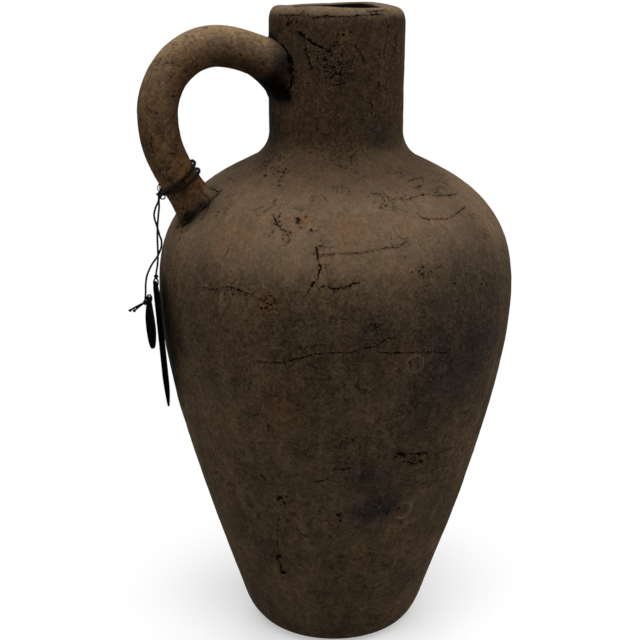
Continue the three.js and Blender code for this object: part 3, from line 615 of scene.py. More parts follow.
# Lines: the vessel's outer face and the handle


def bezier(pulls, share):
    points = [Vector(pull) for pull in pulls]
    while len(points) > 1:
        points = [a.lerp(b, share) for a, b in zip(points, points[1:])]
    return points[0]


def curve_points(pulls, steps=CURVE_STEPS):
    return [bezier(pulls, i / steps) for i in range(steps)]


class Line:
    """Points along a line, found by the length from its start."""

    def __init__(self, points):
        self.points = points
        self.lengths = [0.0]
        for a, b in zip(points, points[1:]):
            self.lengths.append(self.lengths[-1] + (b - a).length)
        self.length = self.lengths[-1]

    def at(self, length):
        i = min(max(bisect(self.lengths, length) - 1, 0), len(self.lengths) - 2)
        step = self.lengths[i + 1] - self.lengths[i]
        return self.points[i].lerp(self.points[i + 1], (length - self.lengths[i]) / step)

    def way(self, length, half=0.6):
        start, end = max(0.0, length - half), min(self.length, length + half)
        return (self.at(end) - self.at(start)).normalized()


def rim_inset(height):
    """How far the rounding of the rim's outer edge draws in."""
    share = min(1.0, max(0.0, (height - JUG_H + RIM_ROUND) / RIM_ROUND))
    return RIM_SHOULDER * (1 - math.sqrt(1 - share * share))


def outer_face():
    wall = Vector((WALL_FOOT_R - FOOT_EDGE_R, WALL_FOOT_H)).normalized()
    slope = Vector((math.cos(SHOULDER_SLOPE), -math.sin(SHOULDER_SLOPE)))
    foot, belly = Vector((WALL_FOOT_R, WALL_FOOT_H)), Vector((BELLY_R, BELLY_H))
    fillet = Vector((NECK_R + NECK_FILLET, NECK_START_H))
    shoulder = fillet - NECK_FILLET * Vector((math.sin(SHOULDER_SLOPE), math.cos(SHOULDER_SLOPE)))
    points = curve_points([(FOOT_FLAT_R, 0), (FOOT_EDGE_R, 0), foot])
    points += curve_points([foot, foot + WALL_FOOT_PULL * wall, (BELLY_R, BELLY_H - BELLY_DROP), belly])
    points += curve_points([belly, (BELLY_R, BELLY_H + BELLY_RISE), shoulder + SHOULDER_PULL * slope, shoulder])
    start = 1.5 * math.pi - SHOULDER_SLOPE
    for i in range(CURVE_STEPS):
        angle = start + (math.pi - start) * i / CURVE_STEPS
        points.append(fillet + NECK_FILLET * Vector((math.cos(angle), math.sin(angle))))
    points.append(Vector((NECK_R, NECK_START_H)))
    round_from = JUG_H - RIM_ROUND
    heights = [round_from + (NECK_TOP_H - round_from) * i / BORE_STEPS for i in range(BORE_STEPS + 1)]
    points += [Vector((NECK_R - rim_inset(height), height)) for height in heights]
    return Line(points), shoulder.y


FACE, NECK_SEAM_H = outer_face()
FACE_HEIGHTS = [point.y for point in FACE.points]


def face_length(height):
    i = min(max(bisect(FACE_HEIGHTS, height) - 1, 0), len(FACE_HEIGHTS) - 2)
    low, high = FACE_HEIGHTS[i], FACE_HEIGHTS[i + 1]
    share = min(1.0, max(0.0, (height - low) / (high - low)))
    return FACE.lengths[i] + share * (FACE.lengths[i + 1] - FACE.lengths[i])


def radius_at(height):
    if height >= NECK_TOP_H:
        return NECK_R - rim_inset(NECK_TOP_H)
    return FACE.at(face_length(max(0.0, height))).x


def face_normal(length):
    way = FACE.way(length)
    return Vector((way.y, -way.x))


def handle_side(out, across, up):
    return Vector((-out, across, up))


def handle_line():
    def lean(angle):
        return handle_side(math.cos(angle), 0, math.sin(angle))
    root = handle_side(NECK_R, 0, NECK_TOP_H - ROOT_DROP)
    peak = handle_side(NECK_R + PEAK_STANDOFF, 0, NECK_TOP_H - PEAK_DROP)
    back = handle_side(NECK_R + STANDOFF, 0, NECK_TOP_H - STANDOFF_DROP)
    landing = NECK_START_H - FOOT_DROP
    foot = handle_side(radius_at(landing), 0, landing)
    root_way, foot_way, out = lean(ROOT_TILT), lean(FOOT_TILT), handle_side(1, 0, 0)
    points = [root - HANDLE_BITE * root_way]
    points += curve_points([root, root + ROOT_PULL * root_way, peak - PEAK_PULL * out, peak])
    points += curve_points([peak, peak + CREST_PULL * out, back + BACK_PULL * UP, back])
    points += curve_points([back, back - BACK_PULL * UP, foot + FOOT_PULL * foot_way, foot])
    points += [foot, foot - HANDLE_BITE * foot_way]
    return Line(points), root, root_way, foot, foot_way


HANDLE, HANDLE_ROOT, ROOT_WAY, HANDLE_FOOT, FOOT_WAY = handle_line()


LEAST_SLOPE = 0.3


def off_vessel(place):
    """How far a point stands off the vessel's outer face, about square to it."""
    height = min(max(place.z, 0.0), NECK_TOP_H)
    length = face_length(height)
    normal = face_normal(length)
    return (math.hypot(place.x, place.y) - FACE.at(length).x) * max(LEAST_SLOPE, normal.x)


def vessel_normal(place):
    normal = face_normal(face_length(min(max(place.z, 0.0), NECK_TOP_H)))
    across = Vector((place.x, place.y, 0)).normalized()
    return (across * normal.x + UP * normal.y).normalized()


# Turned clay: an outline is a list of (radius, height, skin, normal, corner)

OUTLINE_LAYERS = ("skin", "out", "up", "corner")


def skin_points(from_h, to_h, step):
    start, end = face_length(from_h), face_length(to_h)
    steps = max(2, round((end - start) / step))
    lengths = [start + (end - start) * i / steps for i in range(steps + 1)]
    return [(*FACE.at(s), 1.0, face_normal(s), i in (0, steps)) for i, s in enumerate(lengths)]


def inside_points(from_h, to_h):
    """Inner face of a wall section, from its top down."""
    start, end = face_length(from_h) + SCARF, min(face_length(to_h) + SCARF, FACE.length)
    steps = max(2, round((end - start) / INSIDE_STEP))
    lengths = [end + (start - end) * i / steps for i in range(steps + 1)]
    return [(*(FACE.at(s) - WALL * face_normal(s)), 0.0, -face_normal(s), i in (0, steps))
            for i, s in enumerate(lengths)]


def plain(point, corner=False, normal=(0, 0)):
    return (point[0], point[1], 0.0, Vector(normal), corner)


def turned(outline, closed=True):
    """Spins a slice of clay from an outline, and doubles it round the vessel's axis until it closes."""
    bm = bmesh.new()
    skin, out, up, corner = (bm.verts.layers.float.new(name) for name in OUTLINE_LAYERS)
    first = last = None
    for radius, height, weight, normal, is_corner in outline:
        if last is None:
            first = last = bm.verts.new((radius, 0, height))
        else:
            last = bmesh.ops.extrude_vert_indiv(bm, verts=[last])["verts"][0]
            last.co = (radius, 0, height)
        last[skin], last[out], last[up], last[corner] = weight, normal[0], normal[1], float(is_corner)
    if closed:
        bm.edges.new((last, first))
    slice_angle = 2 * math.pi / 2 ** SLICE_DOUBLINGS
    bmesh.ops.spin(bm, geom=bm.verts[:] + bm.edges[:], cent=(0, 0, 0), axis=(0, 0, 1), dvec=(0, 0, 0),
                   angle=slice_angle, steps=RING_SIDES // 2 ** SLICE_DOUBLINGS)
    for doubling in range(SLICE_DOUBLINGS):
        copy = bmesh.ops.duplicate(bm, geom=bm.verts[:] + bm.edges[:] + bm.faces[:])["geom"]
        bmesh.ops.rotate(bm, cent=(0, 0, 0), matrix=Matrix.Rotation(slice_angle * 2 ** doubling, 3, "Z"),
                         verts=[g for g in copy if isinstance(g, bmesh.types.BMVert)])
    bmesh.ops.remove_doubles(bm, verts=bm.verts[:], dist=WELD)
    bmesh.ops.recalc_face_normals(bm, faces=bm.faces[:])
    return bm


def base_outline():
    wall_foot = face_length(BASE_SEAM_H) + SCARF
    inside = FACE.at(wall_foot) - WALL * face_normal(wall_foot)
    corner = Vector((inside.x, FLOOR))
    rounding = min(FLOOR_ROUND, (inside.y - FLOOR) * 0.95)
    floor_curve = [corner + Vector((0, rounding)), corner, corner - Vector((rounding, 0))]
    outline = [plain((0, 0)), plain((FOOT_FLAT_R * 0.55, 0)), plain((FOOT_FLAT_R - 2, 0))]
    outline += [(r, z, ease(0.5, 6, z), n, c and z > 1) for r, z, _, n, c in skin_points(0, BASE_SEAM_H, SKIN_STEP)]
    outline += [plain(inside, True)] + [plain(p) for p in curve_points(floor_curve, FLOOR_STEPS)]
    outline += [plain(floor_curve[-1]), plain((corner.x * 0.5, FLOOR)), plain((0, FLOOR))]
    return outline


def neck_outline():
    outer = skin_points(NECK_SEAM_H, NECK_TOP_H, SKIN_STEP)
    start = face_length(NECK_SEAM_H) + SCARF
    flare_top = Vector((NECK_BORE_R, NECK_START_H - NECK_BORE_RISE))
    flare_foot = FACE.at(start) - WALL * face_normal(start)
    bore_top = NECK_TOP_H - RIM_SCARF
    bore = [plain((NECK_BORE_R, bore_top + (flare_top.y - bore_top) * i / BORE_STEPS), i == 0)
            for i in range(BORE_STEPS)]
    flare = curve_points([flare_top, (NECK_BORE_R, (flare_top.y + flare_foot.y) / 2), flare_foot], FLARE_STEPS)
    return outer + bore + [plain(p) for p in flare] + [plain(flare_foot, True)]


def rim_outline():
    corner, bore = Vector((NECK_R, JUG_H)), Vector((RIM_BORE_R, JUG_H))
    heights = [JUG_H - RIM_H * math.cos(0.5 * math.pi * i / RIM_STEPS) for i in range(RIM_STEPS)]
    outer = [Vector((corner.x - rim_inset(height), height)) for height in heights]
    flat = corner.x - RIM_SHOULDER
    outer += [Vector((flat + (bore.x + RIM_LIP_ROUND - flat) * i / RIM_STEPS, JUG_H)) for i in range(RIM_STEPS)]
    outer += curve_points([bore + Vector((RIM_LIP_ROUND, 0)), bore, bore - Vector((0, RIM_LIP_ROUND))], RIM_STEPS)
    outer += [Vector((bore.x, bore.y - RIM_LIP_ROUND - (RIM_LIP_DROP - RIM_LIP_ROUND) * i / LIP_STEPS))
              for i in range(LIP_STEPS + 1)]
    outline = []
    for i, point in enumerate(outer):
        way = (outer[min(i + 1, len(outer) - 1)] - outer[max(i - 1, 0)]).normalized()
        outline.append((*point, 1.0, Vector((way.y, -way.x)), i in (0, len(outer) - 1)))
    return outline + [plain((NECK_BORE_R, NECK_TOP_H - RIM_SCARF), True)]


WALLS = {
    "foot_wall": (BASE_SEAM_H, FOOT_SEAM_H),
    "belly_wall": (FOOT_SEAM_H, BELLY_SEAM_H),
    "belly_course": (BELLY_SEAM_H, COURSE_SEAM_H),
    "shoulder_wall": (COURSE_SEAM_H, NECK_SEAM_H),
}
TURNED = {"base_slab": turned(base_outline(), closed=False)}
for wall_name, (wall_from, wall_to) in WALLS.items():
    TURNED[wall_name] = turned(skin_points(wall_from, wall_to, SKIN_STEP) + inside_points(wall_from, wall_to))
TURNED["neck"] = turned(neck_outline())
TURNED["rim_coil"] = turned(rim_outline())


# Handle and lutes


def swept(line_places, sides, ring_shape, cap=False):
    """A ring of clay or cord, drawn on from place to place along its line."""
    bm = bmesh.new()
    ring = bmesh.ops.create_circle(bm, cap_ends=False, radius=1, segments=sides)["verts"]
    edges = bm.edges[:]
    order = {vert: i for i, vert in enumerate(ring)}
    for vert, i in order.items():
        vert.co = ring_shape(line_places[0], i)
    first = list(order)
    for place in line_places[1:]:
        made = bmesh.ops.extrude_edge_only(bm, edges=edges)["geom"]
        fresh = {}
        for vert in (g for g in made if isinstance(g, bmesh.types.BMVert)):
            for edge in vert.link_edges:
                other = edge.other_vert(vert)
                if other in order:
                    fresh[vert] = order[other]
        for vert, i in fresh.items():
            vert.co = ring_shape(place, i)
        edges = [g for g in made if isinstance(g, bmesh.types.BMEdge) and all(v in fresh for v in g.verts)]
        order = fresh
    if cap:
        last = sorted(order, key=order.get)
        bm.faces.new(first)
        bm.faces.new(last)
    bmesh.ops.recalc_face_normals(bm, faces=bm.faces[:])
    return bm


def handle_ring(length, i):
    """A point of the handle's skin: swollen towards its ends, and rounded under where it meets the neck."""
    middle, way = HANDLE.at(length), HANDLE.way(length)
    away = Vector((-way.z, 0, way.x))
    middle.y -= HEAD_LEAN * ease(HANDLE_BITE + HEAD_LEAN_LENGTH, HANDLE_BITE, length)
    angle = 2 * math.pi * i / HANDLE_SIDES
    out = math.cos(angle) * away + math.sin(angle) * Vector((0, 1, 0))
    off = off_vessel(middle + HANDLE_R * out)
    if length > HANDLE.length / 2:
        return middle + (HANDLE_R + FOOT_SWELL * bell(off, SWELL_REACH)) * out
    beside = 1 - abs(math.cos(angle)) ** 3
    swell = (HEAD_SWELL + HEAD_SIDE_SWELL * beside) * bell(off - HEAD_SWELL_OFF, SWELL_REACH)
    radius = HANDLE_R + swell - HEAD_DRAW * ease(*HEAD_DRAW_OFF, off) ** 1.5
    place = middle + radius * out
    sunk = ease(HANDLE_BITE + HEAD_TUCK_LENGTH, HANDLE_BITE - HANDLE_SINK, length)
    return place - sunk * max(0.0, off_vessel(place) + HEAD_TUCK) * way


def handle_mesh():
    start, end = HANDLE_BITE - HANDLE_SINK, HANDLE.length - HANDLE_BITE + HANDLE_SINK
    steps = round((end - start) / HANDLE_STEP)
    return swept([start + (end - start) * i / steps for i in range(steps + 1)], HANDLE_SIDES, handle_ring, cap=True)


def lute_mesh(joint, way, height, spread, lift):
    """Clay pressed round one end of the handle: up the handle, out on the vessel, and closed underneath."""
    away = Vector((-way.z, 0, way.x))
    rows = [i / LUTE_ROWS for i in range(LUTE_ROWS + 1)]
    roots = []
    for angle in turns(LUTE_SIDES):
        out = math.cos(angle) * away + math.sin(angle) * Vector((0, 1, 0))
        low, high = -LUTE_SEARCH, LUTE_SEARCH
        for _ in range(LUTE_HALVINGS):
            middle = (low + high) / 2
            low, high = (low, middle) if off_vessel(joint + HANDLE_R * out + middle * way) > 0 else (middle, high)
        root = joint + HANDLE_R * out + low * way
        normal = vessel_normal(root)
        flat = (out - out.dot(normal) * normal).normalized()
        roots.append((angle, root, out, normal, flat))

    def ring_shape(row, i):
        angle, root, out, normal, flat = roots[i]
        up, side, edge = height(angle), spread(angle), lift(angle)
        if row <= 1:
            rise = up * (1 - row) ** 2 + LUTE_BOW * up * row * (1 - row)
            reach = side * row ** 2 + LUTE_BOW * side * row * (1 - row)
            place = root + rise * way + reach * flat
            wanted = rise * way.dot(normal) + edge * bell(row - LUTE_LIP, LUTE_LIP_WIDTH)
            wanted -= LUTE_TUCK * ease(*LUTE_SINKS, row)
            place += (wanted - off_vessel(place)) * normal * ease(*LUTE_LIES, row)
            return place - LUTE_TUCK * out * ease(*LUTE_MEETS, row)
        if row < 2:
            return root + 0.5 * side * flat - LUTE_DEPTH * normal
        if row < 3:
            return root - LUTE_DEPTH * out - LUTE_DEPTH * normal
        return root - LUTE_DEPTH * out + 0.5 * up * way

    bm = swept(rows + [1.5, 2.5, 3.5], LUTE_SIDES, ring_shape)
    bmesh.ops.bridge_loops(bm, edges=[edge for edge in bm.edges if edge.is_boundary])
    bmesh.ops.recalc_face_normals(bm, faces=bm.faces[:])
    return bm


def lip(angle, middle, width):
    turn = (angle - middle + math.pi) % (2 * math.pi) - math.pi
    return bell(turn, width)


def lute_size(least, seed, raggedness, under=0.0, lips=()):
    """A size of the pressed clay, by the angle round the handle."""
    def at(angle):
        place = Vector((LUTE_RAGGEDNESS * math.cos(angle), LUTE_RAGGEDNESS * math.sin(angle), seed))
        size = least + raggedness * noise.noise(place) + under * ease(*LUTE_UNDER, math.cos(angle))
        return size + sum(more * lip(angle, middle, width) for middle, width, more in lips)
    return at


SPREAD_LIPS = [(turn, width, spread) for turn, width, spread, _ in FOOT_LIPS]
LIFT_LIPS = [(turn, width, lift) for turn, width, _, lift in FOOT_LIPS]
LUTED = {
    "handle": handle_mesh(),
    "handle_head_lute": lute_mesh(HANDLE_ROOT, ROOT_WAY, *(lute_size(*size) for size in HEAD_LUTE.values())),
    "handle_foot_lute": lute_mesh(HANDLE_FOOT, FOOT_WAY, lute_size(*FOOT_LUTE["height"]),
                                  lute_size(*FOOT_LUTE["spread"], lips=SPREAD_LIPS),
                                  lute_size(*FOOT_LUTE["lift"], lips=LIFT_LIPS)),
}


# Marks in the clay, from the photograph's pixels where it shows them

HAIRLINE, CRACK, SPLIT, GASH = (0.2, 0.35), (0.31, 0.8), (0.45, 1.2), (0.9, 1.6)
CRACK_ROUTES = [
    # neck
    (GASH, [(297, 31.5), (304.5, 36.5), (313, 44), (324.5, 48.5), (332, 52.5)]),
    (SPLIT, [(304.5, 40), (306.5, 54.5), (312, 67.5), (311, 73.5)]),
    (SPLIT, [(352, 45), (357, 48.5), (362.5, 57), (364.5, 65)]),
    (GASH, [(281, 44), (286, 50), (290, 58), (292.5, 68), (292.5, 78), (290, 88), (285, 94)]),
    (CRACK, [(279, 15), (288, 17), (303, 17)]),
    (HAIRLINE, [(303, 17), (314, 19.3), (330, 18), (340, 18.8), (352, 17.6), (366, 16)]),
    (CRACK, [(366.5, 16.2), (383, 15.6)]),
    (CRACK, [(367, 13.2), (384, 12.2)]),
    (CRACK, [(390, 19), (387, 34), (386, 44), (383, 58)]),
    (HAIRLINE, [(379, 52), (378, 75), (379, 92)]),
    (HAIRLINE, [(396, 30), (395, 48), (396, 64)]),
    (CRACK, [(334, 86), (346, 83)]),
    # shoulder, left
    (CRACK, [(272.5, 214), (277, 223.5), (283, 230.5), (291, 231.5)]),
    (SPLIT, [(316.5, 247.5), (317.5, 259), (321, 268.5), (317.5, 277.5), (311.5, 286.5), (303.5, 298.5)]),
    (HAIRLINE, [(283, 234), (286, 233), (289, 236), (290, 241), (287, 243), (284, 241), (282, 237), (283, 234)]),
    (HAIRLINE, [(316.5, 246), (332, 247)]),
    (HAIRLINE, [(321, 255.5), (335.5, 254.5)]),
    (SPLIT, [(319, 291), (319.5, 288), (325.5, 286), (332, 288.5), (339, 289.5)]),
    (HAIRLINE, [(199, 286.5), (210.5, 289.5), (222, 288)]),
    (CRACK, [(222, 288), (230, 287), (239, 290), (245, 293), (254, 294)]),
    (CRACK, [(286, 299), (292, 301.5)]),
    # shoulder, right
    (CRACK, [(409, 181.5), (413.5, 179), (422, 178)]),
    (CRACK, [(410, 186.5), (416, 188), (423, 185)]),
    (HAIRLINE, [(400, 198.5), (409, 199.5), (418.5, 195.5)]),
    (CRACK, [(418.5, 195.5), (427, 194), (435.5, 196), (449, 195.5), (457, 194)]),
    (HAIRLINE, [(417, 213), (423, 218), (439, 219), (449, 218.5), (457, 213), (466, 207)]),
    (HAIRLINE, [(371, 193), (381, 193.5)]),
    (HAIRLINE, [(330, 253), (342, 253.5), (359, 253), (375, 250.5), (390.5, 247), (398, 247.5), (407.5, 241)]),
    (CRACK, [(330, 287.5), (335, 289), (344.5, 288), (353, 284.5), (364, 281)]),
    # belly
    (HAIRLINE, [(233, 356), (238.5, 354.5), (249.5, 353.5)]),
    (CRACK, [(252.5, 361), (262.5, 362), (272, 363), (283, 362.5), (293, 360), (302.5, 358), (314.5, 354),
             (324, 353), (346, 353.5)]),
    (HAIRLINE, [(297, 349), (307, 346.5), (319, 345), (326.5, 344.5), (323, 352.5)]),
    (HAIRLINE, [(267, 346), (276.5, 345.5)]),
    (CRACK, [(346, 354), (364.5, 349), (378, 346), (380.5, 353)]),
    (CRACK, [(378, 345), (383, 341), (387.5, 338.5), (399, 338)]),
    (CRACK, [(380.5, 353), (394, 353.5), (415, 353), (433, 352), (445, 353.5), (451.5, 349)]),
    # lower wall
    (HAIRLINE, [(245, 412), (256, 414.5), (265.5, 415.5)]),
    (CRACK, [(261, 473), (267, 482)]),
    (CRACK, [(298, 481.5), (303.5, 481.5)]),
    (CRACK, [(312.5, 481.5), (328.5, 479.5)]),
    (CRACK, [(334, 469.5), (349, 469)]),
    (HAIRLINE, [(345, 437.5), (353, 439), (360, 443.5), (360, 454)]),
    (HAIRLINE, [(332.5, 461), (346, 462)]),
    (CRACK, [(333.5, 469.5), (344, 469.5), (355.5, 467)]),
    (SPLIT, [(391, 459.5), (397.5, 454), (412.5, 453.5), (425.5, 453), (428.5, 459.5)]),
    (CRACK, [(399, 461), (417.5, 464), (414, 453)]),
    (CRACK, [(435.5, 454.5), (446, 449.5), (455, 447)]),
    (CRACK, [(427.5, 486), (432, 484.5)]),
    (SPLIT, [(275.5, 555.5), (280.5, 564), (281.5, 574)]),
    (HAIRLINE, [(278, 516), (277, 539), (279, 554)]),
    # handle's foot
    (SPLIT, [(202, 193), (206.5, 196), (210, 199.5), (209.5, 204)]),
    (CRACK, [(209.5, 204), (206, 213), (201, 219)]),
    (SPLIT, [(212, 188), (216.5, 191), (220, 191.4), (222.7, 189.6)]),
    (CRACK, [(179.5, 213), (184, 216.5), (187, 212)]),
    (CRACK, [(151, 143), (153, 150), (153.5, 158)]),
]
# Clusters of pits: left, top, right, bottom, how many
PIT_CLUSTERS = [
    (314, 48, 347, 84, 26), (330, 26, 349, 43, 12), (368, 97, 376, 111, 10), (282, 18, 298, 33, 12),
    (262, 157, 288, 184, 30), (271, 212, 284, 232, 10), (296, 216, 305, 226, 9), (305, 224, 316, 240, 7),
    (254, 295, 276, 314, 24), (411, 265, 440, 284, 16), (451, 279, 459, 288, 6), (477, 280, 487, 288, 6),
    (263, 421, 274, 433, 10), (275, 493, 287, 509, 12), (176, 208, 190, 236, 14), (336, 511, 346, 520, 5),
    (333, 430, 362, 470, 14), (368, 318, 384, 336, 8), (392, 452, 430, 466, 14), (200, 280, 250, 296, 10),
]
# Larger torn pits, and how wide each is
LARGE_PITS = [((281, 498), 1.3), ((284, 504), 1.1), ((277.5, 558), 1.1), ((282, 573), 1.2), ((340, 515), 0.9),
              ((411, 365), 0.7), ((397.5, 510), 0.6), ((404, 456), 0.8), ((419, 461), 0.8)]
RING_MARKS = [((415, 364.5), 5.2), ((402.5, 510.5), 6.0)]
# Spots of colour: where, how wide and how strong. The soot spots are fire clouds, except those on the neck beside the
# handle's root and by its foot, which are painted shade; the painted shade spots are blackest, round the handle's
# joints
SOOT_AND_SHADE_SPOTS = [
    ((484, 335), 24, 0.7), ((462, 372), 24, 0.8), ((440, 345), 16, 0.5), ((368, 478), 11, 1.0), ((366, 512), 14, 1.0),
    ((388, 505), 12, 0.8), ((405, 580), 14, 0.8), ((377, 327), 7, 0.9), ((380, 135), 8, 0.9), ((420, 400), 18, 0.45),
    ((200, 262), 18, 0.35), ((214, 207), 10, 0.4), ((196, 330), 22, 0.2), ((440, 190), 14, 0.4), ((275, 125), 7, 0.8),
    ((275, 140), 7, 0.7), ((488, 255), 18, 0.5), ((472, 222), 14, 0.3), ((458, 268), 20, 0.65), ((412, 300), 20, 0.45),
    ((283, 60), 6, 1.0), ((331, 66), 11, 0.4),
]
# Painted shade: in the pocket under the handle's head, along the groove beside it, and at the handle's foot
SHADE_SPOTS = [((280, 93), 4, 1.3), ((288, 96), 3, 1.2), ((274, 92), 4, 1.2), ((198, 212), 8, 0.45),
              ((187, 220), 6, 0.45), ((206, 203), 4, 0.4), ((291, 70), 2.5, 1.0), ((290, 58), 2.2, 1.0)]
# Crumbs of paler clay, as wide as given
DUST_SPOTS = [((334, 32.5), 1.6), ((343.5, 37), 1.8)]
OCHRE_SPOTS = [((268, 305), 7, 0.8), ((300, 221), 6, 0.5), ((338, 33), 4, 0.9), ((285, 410), 14, 0.35),
               ((350, 232), 12, 0.35), ((235, 235), 18, 0.25)]
FLAKED_PATCH = ((331, 66), 15)
# The unseen side has its own, set out by chance
BACK_FROM, BACK_TO = math.radians(-15), math.radians(150)

BVHS = [BVHTree.FromBMesh(bm) for bm in (*TURNED.values(), *LUTED.values())]


def lift_mark(pixel):
    """The point of the clay that the photograph shows at a pixel."""
    start, way = photo_ray(pixel)
    hits = [tree.ray_cast(start, way) for tree in BVHS]
    hits = [(hit[3], hit[0]) for hit in hits if hit[0] is not None]
    return min(hits, key=lambda hit: hit[0])[1] if hits else None


CRACK_STEP, TEAR_STEP, ROUTE_STEP, BACK_STEP = 0.3, 0.5, 0.6, 0.8
PIXELS_PER_MM = 1.6
# A crack along its way: its least and mean width, two waves of unevenness, and its thin ends
CRACK_LEAST, CRACK_MEAN, CRACK_WAVE, CRACK_SWELL, CRACK_RIPPLE, CRACK_NICK = 0.12, 0.7, 3.1, 1.1, 1.1, 0.5
CRACK_TIP, CRACK_TIP_LENGTH, CRACK_DEEPEST = 0.4, 4, 1.2
# Short side cracks: how many to a millimetre, their slant, reach and sway, and their share of the width and depth
SIDE_CRACKS, SIDE_SLANT, SIDE_REACH = 0.22, 0.8, (0.8, 3)
SIDE_WAVE, SIDE_SWAY, SIDE_WIDTH, SIDE_DEPTH = 0.8, 0.5, 0.6, 0.5
# How a crack wanders between its pixels, and the gap in millimetres that it never jumps
ROUTE_WAVE, ROUTE_SWAY, ROUTE_RIPPLE, ROUTE_JAG, ROUTE_GAP = 3.1, 0.9, 1.2, 0.6, 8
TEAR_SIZES, LARGE_PIT_STEPS = (0.2, 0.25, 0.3, 0.42, 0.62), 5
TEAR_TURN, TEAR_WIDTHS, TEAR_DEPTHS = 0.9, (0.55, 1.15), (0.6, 1.0)
crack_samples, pit_places = [], []


def add_crack(places, half_width, depth):
    """Keeps a crack as close samples: thinner at its ends, uneven along its way, and with short side cracks."""
    line = Line(places)
    steps = max(4, round(line.length / CRACK_STEP))
    for i in range(steps + 1):
        place = line.at(line.length * i / steps)
        end = min(i, steps - i) * CRACK_STEP
        uneven = CRACK_MEAN + CRACK_SWELL * noise.noise(place / CRACK_WAVE)
        uneven = max(CRACK_LEAST, uneven + CRACK_NICK * noise.noise(place / CRACK_RIPPLE))
        taper = CRACK_TIP + (1 - CRACK_TIP) * ease(0, CRACK_TIP_LENGTH, end)
        crack_samples.append((place, half_width * uneven * taper, depth * taper * min(CRACK_DEEPEST, uneven)))
        if half_width > HAIRLINE[0] and random.random() < SIDE_CRACKS * CRACK_STEP:
            way = line.way(line.length * i / steps)
            side = vessel_normal(place).cross(way) * random.choice((-1, 1))
            side += random.uniform(-SIDE_SLANT, SIDE_SLANT) * way
            reach = random.uniform(*SIDE_REACH)
            for j in range(1, round(reach / CRACK_STEP)):
                out = place + j * CRACK_STEP * side.normalized()
                out += SIDE_SWAY * noise.noise(out / SIDE_WAVE) * way
                thinned = SIDE_WIDTH * half_width * (1 - j * CRACK_STEP / reach)
                crack_samples.append((out, thinned, SIDE_DEPTH * depth))


def ragged_walk(steps):
    """A short wandering row of places, in millimetres."""
    way, at, walk = random.uniform(0, 2 * math.pi), Vector((0, 0)), []
    for _ in range(steps):
        walk.append(at.copy())
        way += random.uniform(-TEAR_TURN, TEAR_TURN)
        at += TEAR_STEP * Vector((math.cos(way), math.sin(way)))
    return walk


def add_tear(places, size):
    """A torn pit: a short ragged row of hollows."""
    for place in places:
        if place is not None:
            radius = size * random.uniform(*TEAR_WIDTHS)
            pit_places.append((place, radius, radius * random.uniform(*TEAR_DEPTHS)))


def wander(pixel, wave, first, second):
    return Vector((noise.noise(Vector((*pixel, first)) / wave), noise.noise(Vector((*pixel, second)) / wave)))


for (half_width, depth), route in CRACK_ROUTES:
    flat = Line([Vector(pixel) for pixel in route])
    count = max(3, round(flat.length / ROUTE_STEP))
    places = []
    for i in range(count + 1):
        pixel = flat.at(flat.length * i / count)
        sway, jag = wander(pixel, ROUTE_WAVE, 0, 9), wander(pixel, ROUTE_RIPPLE, 3, 6)
        place = lift_mark(pixel + ROUTE_SWAY * sway + ROUTE_JAG * jag)
        if place is not None and (not places or (place - places[-1]).length < ROUTE_GAP):
            places.append(place)
    if len(places) > 2:
        add_crack(places, half_width, depth)
for left, top, right, bottom, count in PIT_CLUSTERS:
    for _ in range(count):
        pixel = Vector((random.gauss((left + right) / 2, (right - left) / 4),
                        random.gauss((top + bottom) / 2, (bottom - top) / 4)))
        add_tear([lift_mark(pixel + PIXELS_PER_MM * step) for step in ragged_walk(random.randint(1, 4))],
                 random.choice(TEAR_SIZES))
for pixel, size in LARGE_PITS:
    add_tear([lift_mark(Vector(pixel) + PIXELS_PER_MM * step) for step in ragged_walk(LARGE_PIT_STEPS)], size)

# Cracks on the unseen side: heights and counts of the level ones, then the heights of the upright ones
BACK_LEVELS = ((FOOT_SEAM_H, 5), (BELLY_SEAM_H, 5), (COURSE_SEAM_H, 4), (292, 3), (NECK_TOP_H - 0.6, 2))
BACK_KINDS, BACK_LENGTHS, BACK_CLIMB, BACK_STRAY, RIM_STRAY = (HAIRLINE, CRACK, CRACK, SPLIT), (12, 46), 0.12, 5, 0.4
BACK_UPRIGHTS = (90, 180, 262, 345, 360)
UPRIGHT_KINDS, UPRIGHT_LENGTHS, UPRIGHT_CLIMBS = (CRACK, SPLIT), (14, 30), (0.9, 1.9)
BACK_WAVE, BACK_SWAY, BACK_RIPPLE, BACK_JAG = 5, 0.45, 1.7, 0.3
# Torn pits set out by chance: groups on the unseen side, and single ones all over the vessel and the handle
PIT_GROUPS, GROUP_HEIGHTS, GROUP_COUNTS, GROUP_WIDE, GROUP_TALL = 12, (40, 385), (8, 18), 6, 5
VESSEL_TEARS, VESSEL_TEAR_HEIGHTS, HANDLE_TEARS, HANDLE_TEAR_MARGIN = 110, (16, 392), 50, 4


def on_vessel(azimuth, height):
    radius = radius_at(height)
    return Vector((radius * math.cos(azimuth), radius * math.sin(azimuth), height))


def back_route(azimuth, height, length, climb):
    """A wandering crack on the vessel, from a place on it."""
    places, gone = [], 0.0
    while gone <= length:
        places.append(on_vessel(azimuth, height))
        azimuth += BACK_STEP * math.cos(climb) / radius_at(height)
        height += BACK_STEP * math.sin(climb)
        height += BACK_SWAY * noise.noise(places[-1] / BACK_WAVE) + BACK_JAG * noise.noise(places[-1] / BACK_RIPPLE)
        gone += BACK_STEP
    return places


